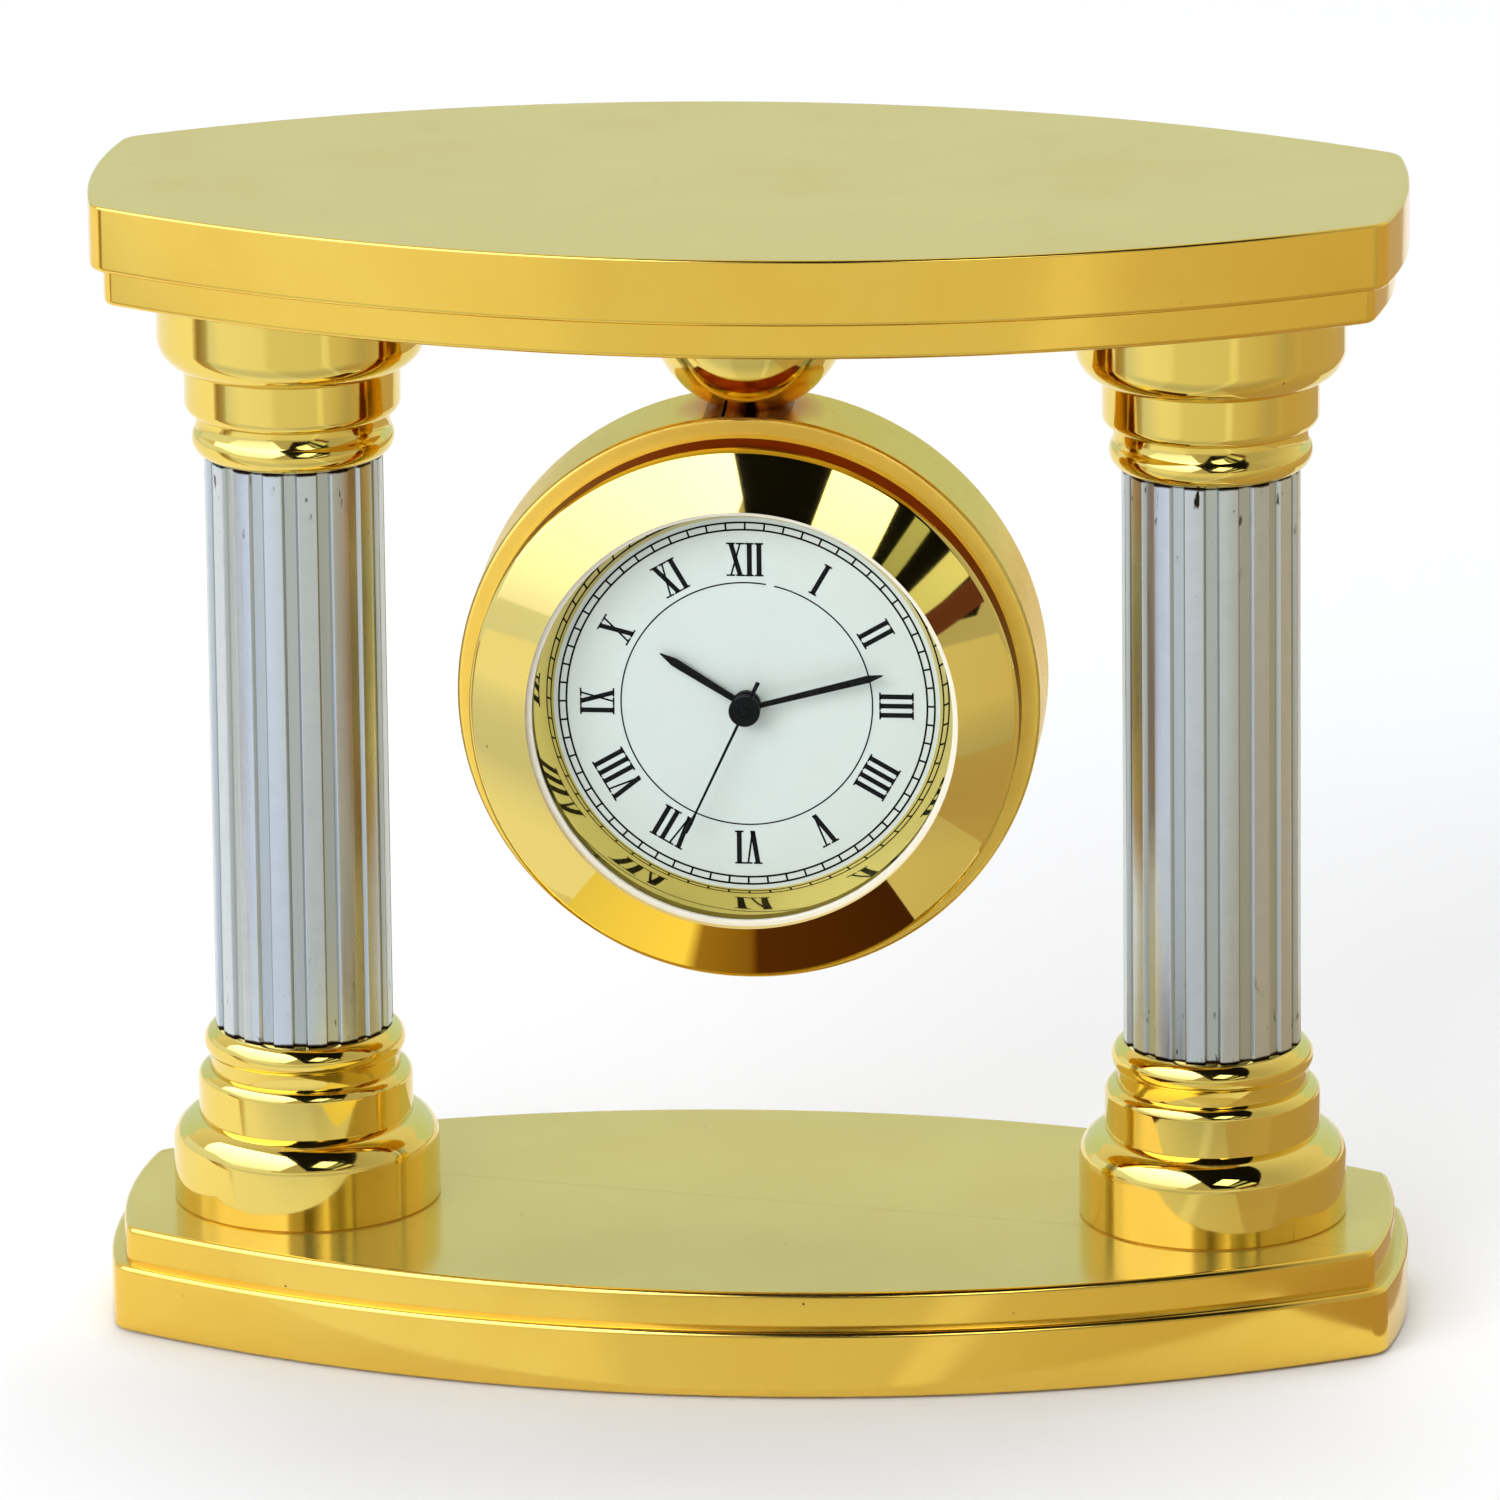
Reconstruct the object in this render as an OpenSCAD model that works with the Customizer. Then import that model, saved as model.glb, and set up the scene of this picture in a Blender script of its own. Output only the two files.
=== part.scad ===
// Miniature portico desk clock: two turned brass plates on two fluted columns,
// with a drum hung from a ball that holds a push-in quartz clock insert.
// Z points up, the dial faces -Y, and the origin is under the middle of the base.

/* [Plates] */
// Length of a plate from corner to corner
plate_l = 85; // [80:0.5:110]
// Depth of a plate at its middle
plate_w = 40.7; // [34:0.1:50]
// Depth of a plate at its corners
corner_w = 17.9; // [14:0.1:22]
// How far the ends swell past the corners
end_swell = 1.05; // [0.5:0.05:3]
// Thickness of the wide slab of a plate
slab_t = 4.5; // [3.5:0.1:8]
// Thickness of the narrower slab of a plate
step_t = 2.45; // [1.5:0.05:5]
// Width of the ledge between the two slabs
ledge = 0.9; // [0.4:0.1:3]
// Rounding of the plates' edges
plate_round = 0.35; // [0.1:0.05:0.8]
// Thickness of the felt under the base
felt_t = 0.8; // [0.5:0.1:2]
// How far the felt stands below the base plate
felt_proud = 0.2; // [0.1:0.1:0.5]
// Border of bare metal round the felt
felt_border = 2.5; // [1.5:0.5:6]

/* [Columns] */
// Distance of a column's axis from the corners of the plates
column_inset = 12; // [10:0.5:14]
// Diameter of a fluted shaft
shaft_d = 11.9; // [10:0.1:13]
// Length of a fluted shaft
shaft_l = 39.7; // [36:0.1:60]
// Bore of a shaft
shaft_bore = 8; // [6:0.1:9]
// Number of flutes round a shaft
flute_n = 16; // [8:1:20]
// Width of a flute at its mouth
flute_w = 1.3; // [0.8:0.05:1.4]
// Width of a flute at its floor
flute_floor = 0.8; // [0.3:0.05:0.8]
// Depth of a flute
flute_depth = 0.25; // [0.1:0.05:0.6]

/* [Turned column ends] */
// Diameter of the wide ring next to a plate
ring_d = 17.9; // [16:0.1:20]
// Height of the wide ring
ring_t = 5.9; // [5:0.1:9]
// Quarter round on the wide ring
ring_round = 2; // [1:0.1:3]
// Diameter of the collar
collar_d = 14.4; // [13.8:0.1:15.4]
// Height of the collar
collar_t = 3.3; // [1.5:0.1:4]
// Rounding of the collar's edge
collar_round = 0.8; // [0.1:0.1:0.9]
// Diameter of the groove between collar and bead
groove_d = 12.9; // [12.4:0.1:13.4]
// Height of that groove
groove_t = 0.6; // [0.3:0.1:1]
// Thickness of the round bead that meets the shaft
bead_t = 2.3; // [1.2:0.1:2.6]
// Diameter of that bead
bead_d = 13.5; // [13:0.1:14]
// Height of the spigot that centres the shaft
spigot_l = 2; // [1:0.5:4]

/* [Fasteners] */
// Diameter of the tie rods through the columns
rod_d = 4; // [3:0.5:5]
// Depth that a tie rod or the hanger screw enters the top plate
rod_grip = 4.5; // [3:0.1:5]
// Thickness of a tie-rod nut
nut_t = 2.4; // [1.6:0.1:2.6]
// Width of a tie-rod nut over its corners
nut_e = 8; // [7:0.1:9]
// Thickness of a washer
washer_t = 0.6; // [0.4:0.1:1]
// Diameter of a washer
washer_d = 9; // [8:0.5:10]
// Diameter of the hanger screw
screw_d = 3; // [2:0.5:3.5]
// Diameter of the hanger screw's head
screw_head_d = 5; // [4:0.5:6]
// Height of the hanger screw's head
screw_head_t = 1.1; // [0.8:0.1:1.2]

/* [Hanger ball and drum] */
// Diameter of the hanger ball
ball_d = 13.2; // [11:0.1:14]
// Distance of the ball's centre below the top plate
ball_drop = 2.05; // [1:0.05:3]
// Height cut off the ball where it stands on the drum
ball_flat = 0.25; // [0.1:0.05:0.6]
// Wall of the drum
drum_wall = 2; // [1.8:0.1:3]
// Length of the drum
drum_l = 7.6; // [7:0.1:12]
// Room between the insert's case and the bore of the drum
bore_gap = 0.8; // [0.6:0.1:0.9]
// Depth of the flat milled on the drum under the ball
seat_cut = 0.15; // [0.1:0.05:0.3]
// Rounding of the drum's edges
drum_round = 0.3; // [0.1:0.05:0.6]

/* [Insert: bezel and glass] */
// Diameter of the bezel
bezel_d = 36.5; // [36:0.1:37.5]
// Height of the bezel's side wall
bezel_wall = 3.4; // [2.5:0.1:3.8]
// Rise of the bezel's cone
bezel_rise = 1.8; // [1.5:0.1:3.5]
// Opening of the bezel
bezel_open = 28.7; // [27.8:0.1:29]
// Radius that the bezel's cone bulges with
bezel_bulge = 60; // [12:1:120]
// Thickness of the bezel's lip over the glass
lip_t = 0.6; // [0.5:0.1:1]
// Diameter of the glass
glass_d = 29.2; // [29:0.1:29.6]
// Thickness of the glass
glass_t = 1; // [0.8:0.1:1.1]
// Thickness of the gasket in front of the glass
gasket_t = 0.3; // [0.2:0.1:0.5]
// Inner diameter of the gasket
gasket_in = 27.9; // [27.4:0.1:28]
// Diameter of the inner bore of the bezel
seat_d = 30; // [29.8:0.1:30.2]
// Inner diameter of the reflector ring at the dial
reflector_in = 25.7; // [24:0.1:26.5]
// Diameter of the dial
dial_d = 30.4; // [30.2:0.1:30.6]
// Thickness of the dial
dial_t = 0.4; // [0.3:0.1:0.6]

/* [Insert: case] */
// Diameter of the insert's case
case_d = 33.2; // [32.8:0.1:33.6]
// Wall of the case
case_wall = 1.2; // [1:0.05:1.3]
// Length of the case inside the bezel
case_in = 1.6; // [1.2:0.1:1.8]
// How far the case reaches behind the drum
case_out = 0.6; // [0.3:0.1:2]
// Width of the rubber grip ring
grip_w = 2; // [1.5:0.1:3]
// Depth of the grip ring's groove
grip_groove = 0.4; // [0.2:0.05:0.5]
// Free play between the grip ring and the drum
grip_play = 0.05; // [0.02:0.01:0.1]
// Thickness of the back cover
cover_t = 0.8; // [0.6:0.1:1]
// Depth that the case is bored out for the back cover
cover_rebate = 0.5; // [0.3:0.05:0.7]

/* [Insert: movement] */
// Diameter of the main plate
plate_d = 26; // [25:0.5:27]
// Thickness of the main plate
plate_t = 0.8; // [0.6:0.1:1]
// Room in front of the main plate for the motion work
motion_room = 1.6; // [1.6:0.1:1.8]
// Room behind the main plate for the train
train_room = 3; // [3:0.1:3.2]
// Thickness of the train bridge
bridge_t = 0.5; // [0.4:0.1:0.6]
// Tooth size of all wheels, as pitch diameter per tooth
tooth = 0.2; // [0.2:0.01:0.21]
// Extra distance between meshing wheels
mesh_gap = 0.05; // [0.04:0.01:0.06]
// Free play of a shaft in its bearing, on the radius
play = 0.04; // [0.03:0.01:0.05]
// Diameter of the battery
battery_d = 6.8; // [5.8:0.1:6.8]
// Thickness of the battery
battery_t = 2.6; // [2.1:0.1:2.6]
// Diameter of the coil winding
coil_d = 2.5; // [2:0.1:2.6]
// Length of the coil winding
coil_l = 8; // [6:0.5:8.5]
// Diameter of the setting knob
knob_d = 5.2; // [4:0.1:6]
// Length of the setting knob
knob_l = 2; // [1.5:0.1:3]
// Number of grip notches round the setting knob
knob_n = 18; // [12:1:20]

/* [Hands] */
// Length of the hour hand
hour_l = 6.7; // [5.5:0.1:7.5]
// Length of the minute hand
minute_l = 9.5; // [8:0.1:10.5]
// Length of the second hand
second_l = 9.4; // [8:0.1:10.5]
// Length of the second hand's tail
tail_l = 2.2; // [1.5:0.1:3]
// Diameter of the black boss on the hands
boss_d = 2.1; // [1.9:0.05:2.4]
// Angle of the hour hand, clockwise from twelve
hour_at = 302; // [0:1:359]
// Angle of the minute hand, clockwise from twelve
minute_at = 75; // [0:1:359]
// Angle of the second hand, clockwise from twelve
second_at = 205; // [0:1:359]

/* [Hidden] */
$fn = 64;

// Clearance of a rod or screw in a plain hole, and of one in its thread
hole_play = 0.15;
thread_play = 0.02;
// Clearance between pressed or glued pieces of one body
fit = 0.01;
// Clearance round a piece that lies loose in a recess
loose = 0.15;
// How far a cut runs past the face that it opens
past = 1;
// Depth of a blind hole past the end of its rod or screw
hole_end = 0.2;

// Column places and drum diameters
column_gap = plate_l - 2 * column_inset;
drum_bore = case_d + 2 * bore_gap;
drum_d = drum_bore + 2 * drum_wall;

// Heights
base_z = felt_proud;
plate_h = slab_t + step_t;
end_h = ring_t + collar_t + groove_t + bead_t;
shaft_z = base_z + plate_h + end_h;
top_under = shaft_z + shaft_l + end_h;
top_z = top_under + plate_h;
ball_z = top_under - ball_drop;
ball_foot = ball_z - ball_d / 2 + ball_flat;
drum_z = ball_foot - (drum_d / 2 - seat_cut);
nut_pocket = nut_t + washer_t + 0.4;
pocket_z = base_z + felt_t - felt_proud + nut_pocket;
rod_foot = pocket_z - nut_pocket + 0.2;
head_z = ball_foot - drum_wall + seat_cut + 0.1;

// Radii of the long sides and of the ends of a plate
function arc_r(half, sag) = (half * half + sag * sag) / (2 * sag);
long_r = arc_r(plate_l / 2, (plate_w - corner_w) / 2);
end_r = arc_r(corner_w / 2, end_swell);

// Distances in front of the drum's middle, measured along the dial's axis
bezel_back = drum_l / 2;
bezel_edge = bezel_back + bezel_wall;
bezel_front = bezel_edge + bezel_rise;
lip_back = bezel_front - lip_t;
glass_front = lip_back - gasket_t;
glass_back = glass_front - glass_t;
case_front = bezel_back + case_in;
case_back = -drum_l / 2 - case_out;
dial_front = case_front - 0.5;
dial_back = dial_front - dial_t;
plate_front = dial_back - motion_room;
plate_back = plate_front - plate_t;
bridge_front = plate_back - train_room;
bridge_back = bridge_front - bridge_t;
cover_front = case_back + cover_t;
grip_back = -grip_w / 2;
knob_back = case_back - 0.1 - knob_l;
board_t = 0.4;
chip_t = 0.6;
spring_t = 0.2;

// Heights of the wheels in the same direction
wheel_t = 0.35;
motion_at = plate_front + 0.1;
hour_wheel_at = motion_at + 0.75;
second_wheel_at = plate_back - 1.2;
middle_wheel_at = plate_back - 1.9;
hour_at_u = dial_front + 0.45;
minute_at_u = hour_at_u + 0.65;
second_at_u = minute_at_u + 0.5;
hand_t = 0.2;

// Teeth of the wheels
cannon_z = 10;
motion_z = 30;
motion_pinion_z = 8;
hour_z = 32;
setting_z = 12;
second_z = 40;
middle_pinion_z = 8;
middle_z = 36;
rotor_z = 6;

// Shaft radii
second_r = 0.3;
minute_r = 0.58;
hour_r = 0.85;
stud_r = 0.3;
setting_r = 0.5;
pivot_r = 0.2;

// Directions from one wheel to the next, and where each axis stands on the main plate
motion_dir = 215;
setting_dir = 215;
middle_dir = 60;
rotor_dir = 60;
function axis_gap(a, b) = tooth * (a + b) / 2 + mesh_gap;
function step(from, dir, gap) = [from[0] + gap * cos(dir), from[1] + gap * sin(dir)];
motion_xy = step([0, 0], motion_dir, axis_gap(cannon_z, motion_z));
setting_xy = step(motion_xy, setting_dir, axis_gap(motion_z, setting_z));
middle_xy = step([0, 0], middle_dir, axis_gap(second_z, middle_pinion_z));
rotor_xy = step(middle_xy, rotor_dir, axis_gap(middle_z, rotor_z));

// Turn of each wheel so that its teeth stand between those of the wheel it meets
function meshed(turn, a, b, dir) = dir + 180 + (0.5 - (turn - dir) * a / 360) * 360 / b;
cannon_turn = motion_dir;
motion_turn = meshed(cannon_turn, cannon_z, motion_z, motion_dir);
motion_pinion_turn = motion_dir + 180;
hour_turn = meshed(motion_pinion_turn, motion_pinion_z, hour_z, motion_dir + 180);
setting_turn = meshed(motion_turn, motion_z, setting_z, setting_dir);
second_turn = middle_dir;
middle_pinion_turn = meshed(second_turn, second_z, middle_pinion_z, middle_dir);
middle_turn = rotor_dir;
rotor_turn = meshed(middle_turn, middle_z, rotor_z, rotor_dir);

// Places on the movement
battery_xy = [6.9, -4.4];
coil_xy = [-5.2, 5.6];
coil_dir = 43;
coil_u = plate_back - 1.3;
core_w = 1;
core_end = 1.2;
core_l = coil_l + 2 * core_end;
post_xy = [[-10.3, -1.5], [0.5, -10.3], [10.3, 3]];
post_r = 0.6;
magnet_r = 1.2;
stator_t = 0.4;
core_tip = step(coil_xy, coil_dir, (core_l - core_w) / 2);

// Colours
gold = "#d9b44a";
satin = "#b4b7b4";
black = "#141414";
white = "#eef0ee";
steel = "#8f9397";
brass = "#c9a24e";

// Mirror one copy to each column
module at_column(side) {
    translate([side * column_gap / 2, 0, 0]) children();
}

// Local frame of the insert: x right, y up, z out of the dial towards the viewer
module dialwise() {
    translate([0, 0, drum_z]) rotate([90, 0, 0]) children();
}

// Turned disc standing on z = 0, with rims rounded by e or sharp where e is 0
module disc(r, t, e) {
    if (e > 0)
        rotate_extrude($fn = 192) {
            square([r - e, t]);
            translate([0, e]) square([r, t - 2 * e]);
            translate([r - e, e]) circle(e, $fn = 32);
            translate([r - e, t - e]) circle(e, $fn = 32);
        }
    else
        cylinder(r = r, h = t, $fn = 192);
}

// Slab of barrel outline, drawn in by the inset: two wide arcs cut by two end arcs
module barrel(t, inset, e) {
    intersection() {
        intersection_for(s = [-1, 1])
            translate([0, s * (long_r - plate_w / 2), 0]) disc(long_r - inset, t, e);
        intersection_for(s = [-1, 1])
            union() {
                translate([s * (plate_l / 2 + end_swell - end_r), 0, 0])
                    disc(end_r - inset, t, e);
                translate([(-s - 1) * plate_l / 2, -plate_l / 2, 0])
                    cube([plate_l, plate_l, t]);
            }
    }
}

// A plate lies with its wide slab down: the base as it is, the top plate turned over
module plate_blank() {
    barrel(slab_t, 0, plate_round);
    translate([0, 0, slab_t]) barrel(step_t, ledge, plate_round);
}

module base_plate() {
    color(gold)
        difference() {
            translate([0, 0, base_z]) plate_blank();
            translate([0, 0, base_z - past])
                barrel(felt_t - felt_proud + past, felt_border, 0);
            for (s = [-1, 1])
                at_column(s) {
                    cylinder(d = rod_d + 2 * hole_play, h = base_z + plate_h + past);
                    cylinder(d = washer_d + 4 * loose, h = pocket_z);
                }
        }
}

module felt_pad() {
    color("#2f5d3a") barrel(felt_t, felt_border + loose, 0);
}

module top_plate() {
    color(gold)
        difference() {
            translate([0, 0, top_z]) mirror([0, 0, 1]) plate_blank();
            for (s = [-1, 1])
                at_column(s)
                    translate([0, 0, top_under - past])
                        cylinder(d = rod_d + 2 * thread_play, h = rod_grip + past + hole_end);
            translate([0, 0, top_under - past])
                cylinder(d = screw_d + 2 * thread_play, h = rod_grip + past + hole_end);
        }
}

// Turned end of a column, standing on a plate: ring, collar, groove, bead and spigot
module turned_end() {
    collar_z = ring_t + collar_t;
    bead_z = collar_z + groove_t;
    difference() {
        rotate_extrude($fn = 128) {
            square([ring_d / 2, ring_t - ring_round]);
            square([ring_d / 2 - ring_round, ring_t]);
            translate([ring_d / 2 - ring_round, ring_t - ring_round]) circle(ring_round);
            square([collar_d / 2, collar_z - collar_round]);
            square([collar_d / 2 - collar_round, collar_z]);
            translate([collar_d / 2 - collar_round, collar_z - collar_round])
                circle(collar_round);
            square([groove_d / 2, bead_z + bead_t / 2]);
            square([(bead_d - bead_t) / 2, bead_z + bead_t]);
            translate([(bead_d - bead_t) / 2, bead_z + bead_t / 2]) circle(bead_t / 2);
            square([shaft_bore / 2 - fit, end_h + spigot_l]);
        }
        translate([0, 0, -1]) cylinder(d = rod_d + 2 * hole_play, h = end_h + spigot_l + 2);
    }
}

module column_base(side) {
    color(gold) at_column(side) translate([0, 0, base_z + plate_h]) turned_end();
}

module capital(side) {
    color(gold) at_column(side) translate([0, 0, top_under]) mirror([0, 0, 1]) turned_end();
}

// Fluted tube: each flute has a flat floor and sloping sides
module column_shaft(side) {
    floor_r = shaft_d / 2 - flute_depth;
    color(satin)
        at_column(side)
            translate([0, 0, shaft_z])
                linear_extrude(shaft_l)
                    difference() {
                        circle(d = shaft_d, $fn = 128);
                        circle(d = shaft_bore);
                        for (i = [0 : flute_n - 1])
                            rotate(i * 360 / flute_n)
                                polygon([[floor_r, -flute_floor / 2],
                                    [shaft_d / 2 + flute_depth, -flute_w + flute_floor / 2],
                                    [shaft_d / 2 + flute_depth, flute_w - flute_floor / 2],
                                    [floor_r, flute_floor / 2]]);
                    }
}

module tie_rod(side) {
    color(steel)
        at_column(side)
            translate([0, 0, rod_foot])
                cylinder(d = rod_d, h = top_under + rod_grip - rod_foot);
}

module tie_rod_nuts() {
    color(steel)
        for (s = [-1, 1])
            at_column(s)
                translate([0, 0, pocket_z - washer_t - nut_t])
                    difference() {
                        cylinder(d = nut_e, h = nut_t, $fn = 6);
                        translate([0, 0, -1]) cylinder(d = rod_d + 2 * thread_play, h = nut_t + 2);
                    }
}

module tie_rod_washers() {
    color(steel)
        for (s = [-1, 1])
            at_column(s)
                translate([0, 0, pocket_z - washer_t])
                    difference() {
                        cylinder(d = washer_d, h = washer_t);
                        translate([0, 0, -1]) cylinder(d = rod_d + 2 * hole_play, h = washer_t + 2);
                    }
}

// Ball cut flat where it meets the top plate and where it stands on the drum
module hanger_ball() {
    color(gold)
        difference() {
            intersection() {
                translate([0, 0, ball_z]) sphere(d = ball_d, $fn = 128);
                translate([-ball_d, -ball_d, ball_foot])
                    cube([2 * ball_d, 2 * ball_d, top_under - ball_foot]);
            }
            translate([0, 0, ball_foot - 1])
                cylinder(d = screw_d + 2 * hole_play, h = ball_d + 2);
        }
}

// The head sits in a counterbore inside the drum, clear of the insert
module hanger_screw() {
    color(steel)
        difference() {
            translate([0, 0, head_z]) {
                cylinder(d = screw_head_d, h = screw_head_t);
                cylinder(d = screw_d, h = top_under + rod_grip - head_z);
            }
            translate([-screw_head_d, -0.4, head_z - 1])
                cube([2 * screw_head_d, 0.8, 1 + screw_head_t / 2]);
        }
}

module drum_ring() {
    color(gold)
        difference() {
            dialwise()
                translate([0, 0, -drum_l / 2])
                    rotate_extrude($fn = 128)
                        translate([drum_bore / 2, 0]) {
                            translate([drum_round, 0]) square([drum_wall - 2 * drum_round, drum_l]);
                            translate([0, drum_round]) square([drum_wall, drum_l - 2 * drum_round]);
                            for (x = [drum_round, drum_wall - drum_round])
                                for (y = [drum_round, drum_l - drum_round])
                                    translate([x, y]) circle(drum_round);
                        }
            translate([-drum_d / 2, -drum_l, ball_foot]) cube([drum_d, 2 * drum_l, drum_d]);
            translate([0, 0, drum_z]) cylinder(d = screw_d + 2 * hole_play, h = drum_d);
            translate([0, 0, drum_z])
                cylinder(d = screw_head_d + 2 * loose, h = head_z + screw_head_t - drum_z);
        }
}

// Bezel: side wall, bulging cone, lip over the glass and a stepped bore behind it
module insert_bezel() {
    rise_in = (bezel_d - bezel_open) / 2;
    chord = sqrt(rise_in * rise_in + bezel_rise * bezel_rise);
    mid_r = (bezel_d + bezel_open) / 4;
    mid_u = bezel_edge + bezel_rise / 2;
    bulge_in = sqrt(bezel_bulge * bezel_bulge - chord * chord / 4);
    color(gold)
        dialwise()
            rotate_extrude($fn = 128)
                difference() {
                    union() {
                        translate([bezel_open / 2, bezel_back])
                            square([rise_in, bezel_wall]);
                        intersection() {
                            translate([mid_r - bulge_in * bezel_rise / chord,
                                    mid_u - bulge_in * rise_in / chord])
                                circle(bezel_bulge, $fn = 256);
                            translate([bezel_open / 2, bezel_edge])
                                square([rise_in, bezel_rise + 1]);
                        }
                    }
                    translate([0, bezel_back - 1]) square([seat_d / 2, lip_back - bezel_back + 1]);
                    translate([0, bezel_back - 1]) square([case_d / 2 + fit, case_in + 1]);
                }
}

module crystal() {
    color([0.9, 0.95, 0.95, 0.3])
        dialwise() translate([0, 0, glass_back]) cylinder(d = glass_d, h = glass_t, $fn = 128);
}

// White ring that grips the glass and shows as a pale line inside the bezel
module crystal_gasket() {
    color(white)
        dialwise()
            rotate_extrude($fn = 128) {
                translate([gasket_in / 2, glass_front])
                    square([seat_d / 2 - fit - gasket_in / 2, gasket_t]);
                translate([glass_d / 2 + fit, glass_back])
                    square([seat_d / 2 - glass_d / 2 - 2 * fit, glass_t + 0.1]);
            }
}

module reflector_ring() {
    color(gold)
        dialwise()
            rotate_extrude($fn = 128)
                polygon([[reflector_in / 2, dial_front], [seat_d / 2 - fit, dial_front],
                    [seat_d / 2 - fit, glass_back], [gasket_in / 2, glass_back]]);
}

module dial() {
    color(white)
        dialwise()
            translate([0, 0, dial_back])
                difference() {
                    cylinder(d = dial_d, h = dial_t, $fn = 128);
                    translate([0, 0, -1]) cylinder(r = hour_r + 0.1, h = dial_t + 2);
                }
}

// Case tube with a groove for the grip ring and a rebate for the back cover
module insert_case() {
    bore = case_d / 2 - case_wall;
    color(brass)
        dialwise()
            difference() {
                translate([0, 0, case_back]) cylinder(d = case_d, h = case_front - case_back);
                translate([0, 0, case_back - 1])
                    cylinder(r = bore, h = case_front - case_back + 2, $fn = 128);
                translate([0, 0, case_back - 1]) cylinder(r = bore + cover_rebate, h = cover_t + 1);
                translate([0, 0, grip_back])
                    difference() {
                        cylinder(d = case_d + 2, h = grip_w);
                        translate([0, 0, -1]) cylinder(d = case_d - 2 * grip_groove, h = grip_w + 2);
                    }
            }
}

module grip_ring() {
    color(black)
        dialwise()
            translate([0, 0, grip_back])
                difference() {
                    cylinder(d = drum_bore - 2 * grip_play, h = grip_w, $fn = 128);
                    translate([0, 0, -1])
                        cylinder(d = case_d - 2 * grip_groove + 2 * fit, h = grip_w + 2);
                }
}

// Snap-in cover that lifts off over the knob, with a rim that holds the movement holder
module back_cover() {
    cover_r = case_d / 2 - case_wall + cover_rebate - play;
    lip_r = cover_r - cover_rebate - loose;
    color(brass)
        dialwise()
            translate([0, 0, case_back])
                difference() {
                    union() {
                        cylinder(r = cover_r, h = cover_t, $fn = 128);
                        translate([0, 0, cover_t - 0.1])
                            difference() {
                                cylinder(r = lip_r, h = bridge_back - cover_front + 0.1);
                                translate([0, 0, -1])
                                    cylinder(r = lip_r - 1, h = bridge_back - cover_front + 2);
                            }
                    }
                    translate([setting_xy[0], setting_xy[1], -1])
                        cylinder(d = knob_d + 2 * loose, h = cover_t + 2);
                }
}

// Ring that carries the dial in front and the main plate in its rebate
module movement_holder() {
    holder_r = case_d / 2 - case_wall - fit;
    color("#e8e4da")
        dialwise()
            difference() {
                translate([0, 0, bridge_back])
                    cylinder(r = holder_r, h = dial_back - bridge_back, $fn = 128);
                translate([0, 0, bridge_back - 1])
                    cylinder(d = plate_d - 1.6, h = dial_back - bridge_back + 2);
                translate([0, 0, plate_back])
                    cylinder(d = plate_d + 2 * fit, h = dial_back - plate_back + 1);
            }
}

// Main plate with its posts for the bridge and the stud for the motion wheel
module main_plate() {
    color(brass)
        dialwise()
            difference() {
                union() {
                    translate([0, 0, plate_back]) cylinder(d = plate_d, h = plate_t, $fn = 128);
                    translate([motion_xy[0], motion_xy[1], plate_back])
                        cylinder(r = stud_r, h = dial_back - 0.15 - plate_back);
                    for (p = post_xy)
                        translate([p[0], p[1], bridge_front])
                            cylinder(r = post_r, h = plate_back - bridge_front + 0.1);
                }
                translate([0, 0, plate_back - 1]) cylinder(r = minute_r + play, h = plate_t + 2);
                translate([setting_xy[0], setting_xy[1], plate_back - 1])
                    cylinder(r = setting_r + play, h = plate_t + 2);
                for (p = [middle_xy, rotor_xy])
                    translate([p[0], p[1], plate_back - 1]) cylinder(r = pivot_r + play, h = 1.5);
            }
}

// Rear bearing plate of the train, cut away round the battery
module train_bridge() {
    color(brass)
        dialwise()
            translate([0, 0, bridge_back])
                difference() {
                    cylinder(d = plate_d - 2.2, h = bridge_t, $fn = 128);
                    translate([0, 0, -1]) cylinder(r = second_r + play, h = bridge_t + 2);
                    translate([setting_xy[0], setting_xy[1], -1])
                        cylinder(r = setting_r + play, h = bridge_t + 2);
                    for (p = [middle_xy, rotor_xy])
                        translate([p[0], p[1], -1]) cylinder(r = pivot_r + play, h = bridge_t + 2);
                    for (out = [1, 1.6])
                        translate([out * battery_xy[0], out * battery_xy[1], -1])
                            cylinder(d = battery_d + 4 * loose, h = bridge_t + 2);
                }
}

// Half-moon board behind the bridge, with its moulded chip
module circuit_board() {
    color("#2c6b3f")
        dialwise()
            translate([0, 0, bridge_back - board_t])
                difference() {
                    cylinder(d = plate_d - 4, h = board_t);
                    translate([-plate_d, -plate_d, -1]) cube([2 * plate_d, plate_d + 1.5, board_t + 2]);
                    for (p = [middle_xy, rotor_xy])
                        translate([p[0], p[1], -1]) cylinder(r = 2 * pivot_r, h = board_t + 2);
                }
    color(black)
        dialwise()
            translate([-4.6, 4.6, bridge_back - board_t - chip_t]) cylinder(d = 3.4, h = chip_t + 0.05);
}

module quartz_can() {
    can_r = 0.7;
    color(steel)
        dialwise()
            translate([-1, 9.4, bridge_back - board_t - can_r])
                rotate([0, 90, 0]) translate([0, 0, -2.4]) cylinder(r = can_r, h = 4.8);
}

module battery() {
    color("#c3c6c8")
        dialwise()
            translate([battery_xy[0], battery_xy[1], plate_back - battery_t])
                union() {
                    translate([0, 0, 0.3]) cylinder(d = battery_d, h = battery_t - 0.3);
                    cylinder(d = battery_d - 1.4, h = battery_t);
                }
}

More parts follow.
